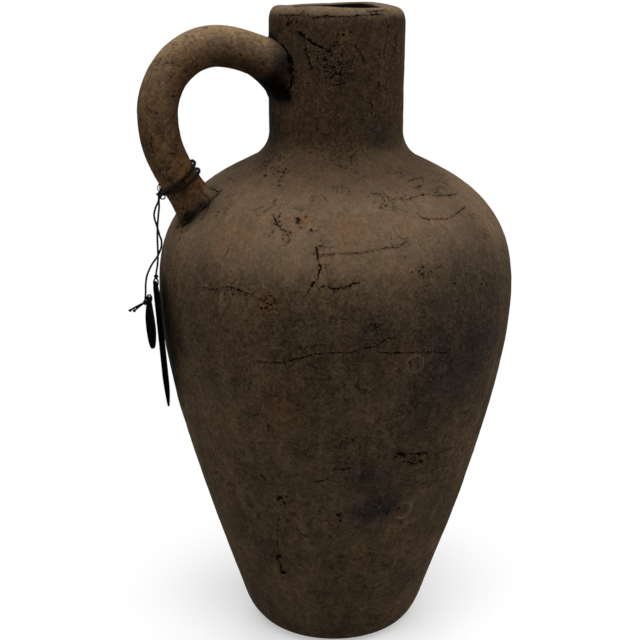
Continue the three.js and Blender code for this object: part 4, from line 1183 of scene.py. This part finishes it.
for height, count in BACK_LEVELS:
    stray = RIM_STRAY if height > NECK_TOP_H - RIM_SCARF else BACK_STRAY
    for _ in range(count):
        azimuth = random.uniform(BACK_FROM, BACK_TO)
        kind = random.choice(BACK_KINDS)
        add_crack(back_route(azimuth, height + random.uniform(-stray, stray), random.uniform(*BACK_LENGTHS),
                             random.uniform(-BACK_CLIMB, BACK_CLIMB)), *kind)
for height in BACK_UPRIGHTS:
    add_crack(back_route(random.uniform(BACK_FROM, BACK_TO), height, random.uniform(*UPRIGHT_LENGTHS),
                         random.uniform(*UPRIGHT_CLIMBS)), *random.choice(UPRIGHT_KINDS))


def tear_vessel(azimuth, height, steps, size):
    add_tear([on_vessel(azimuth + step.x / radius_at(height), height + step.y) for step in ragged_walk(steps)], size)


for _ in range(PIT_GROUPS):
    azimuth, height = random.uniform(BACK_FROM, BACK_TO), random.uniform(*GROUP_HEIGHTS)
    for _ in range(random.randint(*GROUP_COUNTS)):
        tear_vessel(azimuth + random.gauss(0, GROUP_WIDE) / radius_at(height), height + random.gauss(0, GROUP_TALL),
                    random.randint(1, 5), random.choice(TEAR_SIZES))
for _ in range(VESSEL_TEARS):
    tear_vessel(random.uniform(0, 2 * math.pi), random.uniform(*VESSEL_TEAR_HEIGHTS), random.randint(1, 3),
                random.choice(TEAR_SIZES[:3]))
handle_from, handle_to = HANDLE_BITE + HANDLE_TEAR_MARGIN, HANDLE.length - HANDLE_BITE - HANDLE_TEAR_MARGIN
for _ in range(HANDLE_TEARS):
    length, side = random.uniform(handle_from, handle_to), random.randrange(HANDLE_SIDES)
    add_tear([handle_ring(length + step.x, side + step.y) for step in ragged_walk(random.randint(1, 4))],
             random.choice(TEAR_SIZES[:4]))


def tree_of(marks):
    tree = KDTree(len(marks))
    for i, mark in enumerate(marks):
        tree.insert(mark[0], i)
    tree.balance()
    return tree


def lifted(marks):
    return [(lift_mark(pixel), *rest) for pixel, *rest in marks]


def on_back(marks):
    return [(on_vessel(math.radians(turn), height), radius, share) for turn, height, radius, share in marks]


# Spots on the unseen side: turn round the axis, height, width and strength; and the soot along the handle's root
BACK_SOOT = [(75, 120, 34, 0.8), (40, 262, 26, 0.6), (115, 205, 30, 0.7), (20, 60, 22, 0.6)]
BACK_OCHRE = [(100, 275, 14, 0.4), (60, 180, 12, 0.4)]
ROOT_SOOT_OFF, ROOT_SOOT_R, ROOT_SOOT, DUST_SHARE = 5, 11, 0.75, 1.6

CRACKS, PITS = tree_of(crack_samples), tree_of(pit_places)
RINGS, SHADES = lifted(RING_MARKS), lifted(SHADE_SPOTS)
SOOT_AND_SHADE = lifted(SOOT_AND_SHADE_SPOTS)
SOOT_AND_SHADE += [(HANDLE_ROOT + ROOT_SOOT_OFF * ROOT_WAY, ROOT_SOOT_R, ROOT_SOOT), *on_back(BACK_SOOT)]
OCHRES = lifted(OCHRE_SPOTS) + on_back(BACK_OCHRE)
DUSTS = [(place, radius, DUST_SHARE) for place, radius in lifted(DUST_SPOTS)]
FLAKED = lifted([FLAKED_PATCH])[0]
REFINE_REACHES, REFINE_PITS = (2.4, 1.1), 0.5


def near_mark(place, reach):
    if any(abs((place - middle).length - radius) < reach for middle, radius in RINGS):
        return True
    _, i, off = CRACKS.find(place)
    if off < reach + crack_samples[i][1]:
        return True
    _, i, off = PITS.find(place)
    return off < REFINE_PITS * reach + pit_places[i][1]


def refine(bm, skin=None):
    """Finer faces beside the cracks and pits."""
    for reach in REFINE_REACHES:
        near = [edge for edge in bm.edges
                if (skin is None or all(vert[skin] > 0.5 for vert in edge.verts))
                and near_mark((edge.verts[0].co + edge.verts[1].co) / 2, reach)]
        bmesh.ops.subdivide_edges(bm, edges=near, cuts=1, use_grid_fill=True)


# Relief of the skin: waves of the hand-smoothed clay and their heights, and how far from a crack or pit is far
LUMPS, RIFT_FAR = ((64, 0.55), (19, 0.26), (5.2, 0.11), (2.9, 0.05)), 3.0
# A crack's reach and raised lips, by its half width; then how torn a pit's edge is
CRACK_REACH, CRACK_LIP, CRACK_LIP_OFF = 5, 0.16, 2.4
TEAR_WAVE, TEAR_RIPPLE, TEAR_UP, TEAR_SHIFT, PIT_STEEP = 1.3, 1.1, 1.3, 0.5, 1.5
AWAY = Vector((31.7, 12.3, 57.1))
RING_REACH, RING_RISE, RING_WIDTH, RING_DIP, RING_DIP_WIDTH = 2, 0.45, 0.9, 0.5, 0.6
FLAKE_REACH, FLAKE_EDGE, FLAKE_WAVE, FLAKE_RIPPLE, FLAKE_NICK = 1.3, (1.25, 0.75), 2.1, 0.9, 0.6
FLAKE_RELIEF, FLAKE_DROP, FLAKE_RIFT = 0.55, 0.25, 0.45


def relief(place):
    """Height of the skin at a place, and how far that is from the edge of the nearest crack or pit."""
    height = sum(size * noise.noise(place / wave) for wave, size in LUMPS)
    _, i, off = CRACKS.find(place)
    half_width, depth = crack_samples[i][1:]
    rift = off - half_width
    if off < CRACK_REACH * half_width:
        height -= depth * bell(off, half_width) - CRACK_LIP * bell(off - CRACK_LIP_OFF * half_width, half_width)
    torn = Vector((noise.noise(place / TEAR_WAVE), noise.noise(place / TEAR_WAVE + AWAY),
                   TEAR_UP * noise.noise(place / TEAR_RIPPLE - AWAY)))
    _, i, off = PITS.find(place + TEAR_SHIFT * torn)
    radius, depth = pit_places[i][1:]
    rift = min(rift, off - radius)
    if off < radius:
        dip = 1 - (off / radius) ** 2
        height -= depth * dip * (PIT_STEEP - (PIT_STEEP - 1) * dip)
    for middle, radius in RINGS:
        off = (place - middle).length
        if off < RING_REACH * radius:
            height += RING_RISE * bell(off - radius, RING_WIDTH) - RING_DIP * bell(off, RING_DIP_WIDTH * radius)
    middle, radius = FLAKED
    off = (place - middle).length
    if off < FLAKE_REACH * radius:
        share = ease(FLAKE_EDGE[0] * radius, FLAKE_EDGE[1] * radius, off)
        rough = noise.noise(place / FLAKE_WAVE) + FLAKE_NICK * noise.noise(place / FLAKE_RIPPLE)
        height += share * (FLAKE_RELIEF * rough - FLAKE_DROP)
        rift = min(rift, rough + FLAKE_RIFT + RIFT_FAR * (1 - share))
    return height, min(rift, RIFT_FAR)


# Tones of the clay. A pair is a range of heights, radii, turns or facings (how far the skin faces up), and runs from
# where the tone starts to where it is full
SPOT_REACH, SPOT_MOST = 2.6, 2.0
HANDLE_OFF = (2, 9)
# Painted light: the vessel's clay is paler where it faces up, and the handle's arch and top paler still
SHOULDER_FACING, CREST_PALE, CREST_FACING = (0.08, 0.55), 0.55, (0.3, 0.8)
ARCH_LEAST, ARCH_HEIGHTS, ARCH_FACING = 0.12, (322, 368), (-0.3, 0.35)
RING_PALE, RING_PALE_WIDTH = 0.8, 1.0
HANDLE_OCHRE, WRAP_OCHRE, WRAP_OCHRE_AT, WRAP_OCHRE_WIDTH, OCHRE_FACING = 0.4, 0.6, 22, 14, (1.2, 0.3)
BELLY_BAND, BELLY_BAND_H, BELLY_BAND_WIDTH = 0.35, 219, 24
# The neck is darker; the shoulder round its foot is darkened too, as painted shade
NECK_DEEP, NECK_DEEP_RISES, NECK_DEEP_ENDS, NECK_DEEP_R = 0.75, (284, 314), (399, 394), (95, 57)
# Painted shade: on the handle's underside by its root, and on the neck below the root
UNDERSIDE_SHADE, UNDERSIDE_FACING, UNDERSIDE_REACH = 0.9, (0.05, -0.65), 27
ROOT_SHADE, ROOT_SHADE_TURN, ROOT_SHADE_R = 0.8, (0.64, 0.34), (53, 45)
ROOT_SHADE_RISES, ROOT_SHADE_ENDS = (338, 352), (384, 368)
# Painted shade in the handle's joints: share, distance from the handle's middle line, width, range off the vessel,
# heights
JOINT_TURN = math.pi / 3
HEAD_SHADE = (HANDLE_ROOT, ROOT_WAY, 0.9, 14, 3, (4, 0.5), (340, 352))
FOOT_SHADE = (HANDLE_FOOT, FOOT_WAY, 0.4, 13, 4, (6, 0.5), (262, 270))
# Painted shadow of the tags on the belly: its share, middle, half width and half height, and its ragged edge
TAG_SHADOW, TAG_SHADOW_TURN, TAG_SHADOW_H, TAG_SHADOW_WIDE, TAG_SHADOW_TALL = 0.84, 0.06, 207, 0.36, 47
TAG_SHADOW_EDGE, TAG_SHADOW_R, TAG_SHADOW_WAVE, TAG_SHADOW_SWELL, TAG_SHADOW_RIPPLE, TAG_SHADOW_NICK = (1.15, 0.45), (80, 90), 15, 0.24, 5, 0.12
# Painted shade inside the mouth and down its throat
MOUTH_R, MOUTH_DROP, THROAT, THROAT_R, THROAT_DROPS = (27.5, 25.5), 1, 0.85, (31, 29), (6, 12)


def spots(place, marks):
    total = 0.0
    for middle, radius, share in marks:
        off = (place - middle).length
        if off < SPOT_REACH * radius:
            total += share * bell(off, radius)
    return min(SPOT_MOST, total)


def deep_tone(place):
    """Darker clay: the neck, a band round the belly, and the shoulder round the neck's foot, which is painted shade.
    """
    radius = math.hypot(place.x, place.y)
    neck = NECK_DEEP * ease(*NECK_DEEP_RISES, place.z) * ease(*NECK_DEEP_ENDS, place.z) * ease(*NECK_DEEP_R, radius)
    return BELLY_BAND * bell(place.z - BELLY_BAND_H, BELLY_BAND_WIDTH) + neck


def joint_shade(place):
    joint, way, share, beside, width, offs, heights = HEAD_SHADE if place.z > NECK_START_H else FOOT_SHADE
    arm = place - joint
    off_line = (arm - arm.dot(way) * way).length
    return share * bell(off_line - beside, width) * ease(*offs, off_vessel(place)) * ease(*heights, place.z)


def painted_shade_tone(place):
    """Painted shade and shadow, near black: under the handle's root, in its joints, the tags' shadow on the belly, and
    in the mouth.
    """
    turn, radius = math.atan2(place.y, -place.x), math.hypot(place.x, place.y)
    # Painted shade on the neck below the handle's root
    under = ROOT_SHADE * ease(*ROOT_SHADE_TURN, abs(turn)) * ease(*ROOT_SHADE_RISES, place.z)
    under = under * ease(*ROOT_SHADE_ENDS, place.z) * ease(*ROOT_SHADE_R, radius)
    # Painted shade in the handle's joints
    joints = joint_shade(place) if abs(turn) < JOINT_TURN else 0
    # Painted shadow of the tags on the belly
    cloud = math.hypot((turn - TAG_SHADOW_TURN) / TAG_SHADOW_WIDE, (place.z - TAG_SHADOW_H) / TAG_SHADOW_TALL)
    cloud += TAG_SHADOW_SWELL * noise.noise(place / TAG_SHADOW_WAVE) + TAG_SHADOW_NICK * noise.noise(place / TAG_SHADOW_RIPPLE)
    tag_shadow = TAG_SHADOW * ease(*TAG_SHADOW_EDGE, cloud) * ease(*TAG_SHADOW_R, radius)
    # Painted shade inside the mouth and throat
    mouth = ease(*MOUTH_R, radius) * ease(JUG_H + MOUTH_DROP, JUG_H - MOUTH_DROP, place.z)
    throat = THROAT * ease(*THROAT_R, radius) * ease(JUG_H - THROAT_DROPS[0], JUG_H - THROAT_DROPS[1], place.z)
    return min(1.0, under + joints + tag_shadow + max(mouth, throat))


def paint(vert, layers, normal, rift):
    """Colours at a point of the clay, kept for its material: firing colours, painted light where the clay faces up,
    and painted shade and shadow round the handle, behind the tags and in the mouth.
    """
    place = vert.co
    handle = ease(*HANDLE_OFF, off_vessel(place))
    rings = RING_PALE * sum(bell((place - middle).length - radius, RING_PALE_WIDTH) for middle, radius in RINGS)
    # Painted light on the handle: paler along its arch and top, where they face up
    arch = ARCH_LEAST + ease(*ARCH_HEIGHTS, place.z)
    crest = arch * ease(*ARCH_FACING, normal.z) + CREST_PALE * ease(*CREST_FACING, normal.z)
    near_wrap = bell((place - HANDLE_FOOT).length - WRAP_OCHRE_AT, WRAP_OCHRE_WIDTH)
    handle_ochre = handle * (HANDLE_OCHRE + WRAP_OCHRE * near_wrap) * ease(*OCHRE_FACING, normal.z)
    # Painted shade on the handle's underside near its root
    underside = handle * ease(*UNDERSIDE_FACING, normal.z) * bell((place - HANDLE_ROOT).length, UNDERSIDE_REACH)
    tones = {
        "rift": rift,
        "soot_and_shade": spots(place, SOOT_AND_SHADE),
        # Partly painted light: paler where the vessel faces up and on the handle's top
        "pale": (1 - handle) * ease(*SHOULDER_FACING, normal.z) + handle * crest + rings + spots(place, DUSTS),
        "deep": (1 - handle) * deep_tone(place),
        "ochre": min(1.0, spots(place, OCHRES) + handle_ochre),
        "painted_shade": min(1.0, painted_shade_tone(place) + UNDERSIDE_SHADE * underside + spots(place, SHADES)),
    }
    for name, tone in tones.items():
        vert[layers[name]] = tone


def rim_lean(place):
    """How far the hand-made rim rises or dips."""
    angle = math.atan2(place.y, place.x)
    wave = sum(rise * lip(angle, at, width) for at, width, rise in RIM_RISES)
    return (wave + RIM_WOBBLE * math.sin(RIM_WOBBLES * angle)) * ease(*RIM_LEAN_HEIGHTS, place.z)


# Inside, the clay swells a little; below a height, the foot stays flat
INSIDE_SWELL, INSIDE_WAVE, FOOT_FLAT_H = 0.6, 30, 0.5


for node, bm in TURNED.items():
    refine(bm, bm.verts.layers.float["skin"])
    layers = {name: bm.verts.layers.float.new(name) for name in PAINTS}
    skin, out, up, corner = (bm.verts.layers.float[name] for name in OUTLINE_LAYERS)
    for edge in bm.edges:
        edge.smooth = not all(vert[corner] > 0.9 for vert in edge.verts)
    for vert in bm.verts:
        across = Vector((vert.co.x, vert.co.y, 0))
        across = across.normalized() if across.length > WELD else Vector((1, 0, 0))
        normal = across * vert[out] + UP * vert[up]
        vert[layers["rift"]] = RIFT_FAR
        if vert[skin] > 0:
            height, rift = relief(vert.co)
            paint(vert, layers, normal, rift)
            vert.co += vert[skin] * height * normal
        elif vert.co.z > FOOT_FLAT_H:
            vert.co += INSIDE_SWELL * noise.noise(vert.co / INSIDE_WAVE) * across
        vert.co.z += rim_lean(vert.co)
    for name in OUTLINE_LAYERS:
        bm.verts.layers.float.remove(bm.verts.layers.float[name])
    finish_piece(bm, "fired_" + node, node, "jug", "clay", VESSEL_CLAY)

for node, bm in LUTED.items():
    refine(bm)
    bm.normal_update()
    layers = {name: bm.verts.layers.float.new(name) for name in PAINTS}
    moves = [(vert, vert.normal.copy(), *relief(vert.co)) for vert in bm.verts]
    for vert, normal, height, rift in moves:
        paint(vert, layers, normal, rift)
        vert.co += height * normal
    finish_piece(bm, "fired_" + node, node, "jug", "clay", HANDLE_CLAY if node == "handle" else VESSEL_CLAY)


# Cord


def smooth_line(points, steps=10):
    """A line drawn smoothly through points."""
    padded = [2 * points[0] - points[1], *points, 2 * points[-1] - points[-2]]
    drawn = []
    for p0, p1, p2, p3 in zip(padded, padded[1:], padded[2:], padded[3:]):
        for i in range(steps):
            t = i / steps
            drawn.append(0.5 * (2 * p1 + (p2 - p0) * t + (2 * p0 - 5 * p1 + 4 * p2 - p3) * t ** 2
                                + (3 * p1 - p0 - 3 * p2 + p3) * t ** 3))
    return drawn + [points[-1]]


def twisted(points, radius):
    """Two-ply cord along points: its section has two lobes that turn along the way."""
    line = Line(points)
    steps = max(8, round(line.length / CORD_STEP))
    places = [line.at(line.length * i / steps) for i in range(steps + 1)]
    sections, side = [], None
    for i, place in enumerate(places):
        way = (places[min(i + 1, steps)] - places[max(i - 1, 0)]).normalized()
        if side is None:
            side = way.orthogonal().normalized()
        side = (side - side.dot(way) * way).normalized()
        turn = 2 * math.pi * line.length * i / steps / (TWIST_PITCH * radius)
        sections.append((place, side.copy(), way.cross(side), turn))

    def ring_shape(section, i):
        place, first, second, turn = section
        angle = 2 * math.pi * i / CORD_SIDES
        lobe = PLY_CORE + PLY_LOBE * abs(math.cos(angle - turn))
        return place + radius * lobe * (math.cos(angle) * first + math.sin(angle) * second)

    bm = swept(sections, CORD_SIDES, ring_shape, cap=True)
    ply = bm.verts.layers.float.new("ply")
    tree = tree_of([(place,) for place in places])
    for vert in bm.verts:
        vert[ply] = (tree.find(vert.co)[2] / radius - PLY_CORE) / PLY_LOBE
    return bm, places


def join(bms):
    """Several lengths of cord as one piece."""
    whole = bmesh.new()
    whole.verts.layers.float.new("ply")
    for bm in bms:
        mesh = bpy.data.meshes.new("length_of_cord")
        bm.to_mesh(mesh)
        bm.free()
        whole.from_mesh(mesh)
        bpy.data.meshes.remove(mesh)
    return whole


def knot(middle, size, turn, radius):
    """A pulled-tight overhand knot."""
    turned_by = Matrix.Rotation(turn, 3, "X") @ Matrix.Rotation(KNOT_TWIST * turn, 3, "Z")
    points = []
    for t in turns(KNOT_STEPS):
        ring = 2 + math.cos(3 * t)
        flat = Vector((ring * math.cos(2 * t), ring * math.sin(2 * t), KNOT_THICKNESS * math.sin(3 * t)))
        points.append(middle + turned_by @ (flat * size / 3))
    return twisted(points + [points[0]], radius)[0]


def handle_place(from_foot):
    length = HANDLE.length - HANDLE_BITE - from_foot
    up = -HANDLE.way(length)
    return HANDLE.at(length), up, Vector((-up.z, 0, up.x))


CORD_D = 2 * CORD_R
ACROSS = Vector((0, -1, 0))
KNOT_PLACE, OVAL_KNOT, LONG_KNOT = (handle_side(*place) for place in (KNOT_SEEN, OVAL_KNOT_AT, LONG_KNOT_AT))


def around_handle(lift, away, across):
    middle, _, out = handle_place(WRAP_FROM_FOOT + lift)
    return middle + away * out + across * ACROSS


def wrap_points():
    pitch, turn_r = 2 * WRAP_R + WRAP_GAP, HANDLE_R + WRAP_R + WRAP_SLACK
    last = 2 * math.pi * WRAP_TURNS - WRAP_LEAVE
    points = [KNOT_PLACE, KNOT_PLACE + KNOT_R * ACROSS]
    for i in range(WRAP_STEPS + 1):
        angle = WRAP_LEAVE + (last - WRAP_LEAVE) * i / WRAP_STEPS
        turn = min(int(angle / (2 * math.pi)), WRAP_TURNS - 1)
        lift = pitch * (WRAP_TURNS / 2 - angle / (2 * math.pi)) + WRAP_LIFTS[turn] * (1 - math.cos(angle)) / 2
        points.append(around_handle(lift, turn_r * math.cos(angle), turn_r * math.sin(angle)))
    return points + [KNOT_PLACE - KNOT_R * ACROSS, KNOT_PLACE]


RIGHT, UPRIGHT, NEARER = (Vector(CAMERA_AT.col[i][:3]) for i in range(3))


def small_ring(middle, wide, tall, radius):
    """A small ring of cord, turned as the photograph shows it."""
    points = [middle + wide * math.cos(a) * RIGHT + tall * math.sin(a) * UPRIGHT for a in turns(RING_STEPS, 1)]
    return twisted(points, radius)[0]


wrap_parts = [twisted(smooth_line(wrap_points(), WRAP_SMOOTHING), WRAP_R)[0]]
wrap_parts += [small_ring(handle_side(*ring), *WRAP_RING) for ring in WRAP_RINGS]
finish_piece(join(wrap_parts), "twisted_wrap", "cord_wrap", "jug", "cord", CORD)
ring_right, ring_up, ring_nearer = KNOT_RING_OFF
ring_place = KNOT_PLACE + ring_right * RIGHT + ring_up * UPRIGHT + ring_nearer * NEARER
knot_loop = smooth_line([handle_side(*point) for point in KNOT_LOOP])
knot_parts = [knot(KNOT_PLACE, *TIE_KNOT), small_ring(ring_place, *KNOT_RING), twisted(knot_loop, KNOT_LOOP_R)[0]]
finish_piece(join(knot_parts), "tied_knot", "cord_knot", "jug", "cord", CORD)


def tag_place(tag):
    return handle_side(tag["hole"][0], 0, tag["hole"][1])


def tag_loop(tag):
    """The cord through a tag's hole and over its top edge."""
    wide, tall = tag["loop"]
    middle = tag_place(tag) + tall * UP
    points = [middle + Vector((wide * math.cos(a), 0, tall * math.sin(a))) for a in turns(LOOP_STEPS, 1)]
    return twisted(points, TAG_LOOP_R)[0]


def strand(name, node, route, root, across, end_knot):
    start = KNOT_PLACE + handle_side(root, across, -CORD_D)
    points = smooth_line([start, *(handle_side(*point) for point in route), end_knot + CORD_D * UP])
    bm, places = twisted(points, CORD_R)
    return finish_piece(bm, name, node, "hanging_cord", "cord", CORD), [place * MM for place in places]


oval_strand, oval_path = strand("twisted_oval_tag_cord", "oval_tag_cord", OVAL_ROUTE, STRAND_ROOTS[0],
                                -STRAND_SPREAD, OVAL_KNOT)
long_strand, long_path = strand("twisted_long_tag_cord", "long_tag_cord", LONG_ROUTE, STRAND_ROOTS[1],
                                STRAND_SPREAD, LONG_KNOT)

oval_parts = [knot(OVAL_KNOT, *OVAL_END_KNOT), tag_loop(OVAL_TAG)]
for tail in TAILS:
    tip = handle_side(*tail)
    bow = OVAL_KNOT.lerp(tip, 0.5) + CORD_R * UP
    oval_parts.append(twisted(curve_points([OVAL_KNOT, bow, tip], TAIL_STEPS) + [tip], CORD_R)[0])
    oval_parts.append(knot(tip, *TAIL_KNOT))
oval_knot = finish_piece(join(oval_parts), "tied_oval_tag_knot", "oval_tag_knot", "hanging_cord", "cord", CORD)
long_parts = [knot(LONG_KNOT, *LONG_END_KNOT), tag_loop(LONG_TAG)]
long_knot = finish_piece(join(long_parts), "tied_long_tag_knot", "long_tag_knot", "hanging_cord", "cord", CORD)

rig.cord(oval_strand, exit=oval_path[0], length=OVAL_STRAND_LENGTH, diameter=2 * CORD_R * MM, far_end="knot",
        stiffness="limp", lay="hanging", path=oval_path, with_pieces=[oval_knot])
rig.cord(long_strand, exit=long_path[0], length=LONG_STRAND_LENGTH, diameter=2 * CORD_R * MM, far_end="knot",
        stiffness="limp", lay="hanging", path=long_path, with_pieces=[long_knot])


# Tags


def oval_outline(tag):
    """An oval that narrows towards its hole."""
    middle = TAG_HOLE_R + TAG_MARGIN - tag["length"] / 2
    return [(tag["width"] / 2 * math.cos(a) * (1 - OVAL_TAG_TAPER * ease(*OVAL_TAG_TAPERS, math.sin(a))),
             middle + tag["length"] / 2 * math.sin(a)) for a in turns(TAG_SIDES)]


def long_outline(tag):
    """A strip with a round crown about its hole and a point at its other end."""
    half, top = tag["width"] / 2, TAG_HOLE_R + TAG_MARGIN
    shoulder, tip = top - tag["length"] + LONG_TAG_POINT, top - tag["length"]
    turn = top - LONG_TAG_SHOULDER
    crown_angles = [LONG_TAG_CROWN * (i + 0.5) / TAG_CROWN_STEPS for i in range(TAG_CROWN_STEPS)]
    crown_end = (-top * math.sin(LONG_TAG_CROWN), top * math.cos(LONG_TAG_CROWN))
    slope = top / math.cos(LONG_TAG_CROWN) - half * math.tan(LONG_TAG_CROWN)
    left = [(-top * math.sin(a), top * math.cos(a)) for a in crown_angles]
    left += [tuple(p) for p in curve_points([crown_end, (-half, slope), (-half, turn)], TAG_CORNER_STEPS)]
    left += [(-half, turn + (shoulder - turn) * i / TAG_EDGE_STEPS) for i in range(TAG_EDGE_STEPS)]
    point = [(-half, shoulder), (-half, shoulder - LONG_TAG_POINT / 2), (0, tip)]
    left += [tuple(p) for p in curve_points(point, TAG_POINT_STEPS)]
    return left + [(0, tip)] + [(-x, y) for x, y in reversed(left)]


def card_tag(tag, outline):
    """A card plate with a punched hole and bevelled edges that are greyer, about its hole, then hung in place."""
    bm = bmesh.new()
    ring = bmesh.ops.create_circle(bm, cap_ends=False, radius=1, segments=len(outline))["verts"]
    for vert, (across, up) in zip(ring, outline):
        vert.co = (0, across, up)
    bmesh.ops.create_circle(bm, cap_ends=False, radius=TAG_HOLE_R, segments=TAG_HOLE_SIDES,
                            matrix=Matrix.Rotation(math.pi / 2, 4, "Y"))
    bmesh.ops.bridge_loops(bm, edges=bm.edges[:])
    plate = bmesh.ops.extrude_face_region(bm, geom=bm.faces[:])["geom"]
    raised = [g for g in plate if isinstance(g, bmesh.types.BMVert)]
    bmesh.ops.translate(bm, vec=(tag["thickness"], 0, 0), verts=raised)
    bmesh.ops.translate(bm, vec=(-tag["thickness"] / 2, 0, 0), verts=bm.verts[:])
    bmesh.ops.recalc_face_normals(bm, faces=bm.faces[:])
    rims = [edge for edge in bm.edges if len(edge.link_faces) == 2 and edge.calc_face_angle() > 1]
    bmesh.ops.bevel(bm, geom=rims, offset=TAG_BEVEL, offset_type="OFFSET", affect="EDGES", segments=2, profile=0.5,
                    material=-1)
    edge = bm.verts.layers.float.new("edge")
    for vert in bm.verts:
        vert[edge] = ease(tag["thickness"] / 2 - TAG_FACE, tag["thickness"] / 2 - TAG_BEVEL, abs(vert.co.x))
    lean = Matrix.Rotation(-math.radians(tag["lean"]), 4, "Y")
    bmesh.ops.transform(bm, matrix=Matrix.Translation(tag_place(tag)) @ lean, verts=bm.verts[:])
    return bm


finish_piece(card_tag(OVAL_TAG, oval_outline(OVAL_TAG)), "card_oval_tag", "oval_tag", "oval_tag", "tag", CARD)
finish_piece(card_tag(LONG_TAG, long_outline(LONG_TAG)), "card_long_tag", "long_tag", "long_tag", "tag", CARD)

with open("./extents.json", "w") as size_file:
    json.dump({"cad": CAD_BOX, "visual": [list(corner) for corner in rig.bounds()]}, size_file)
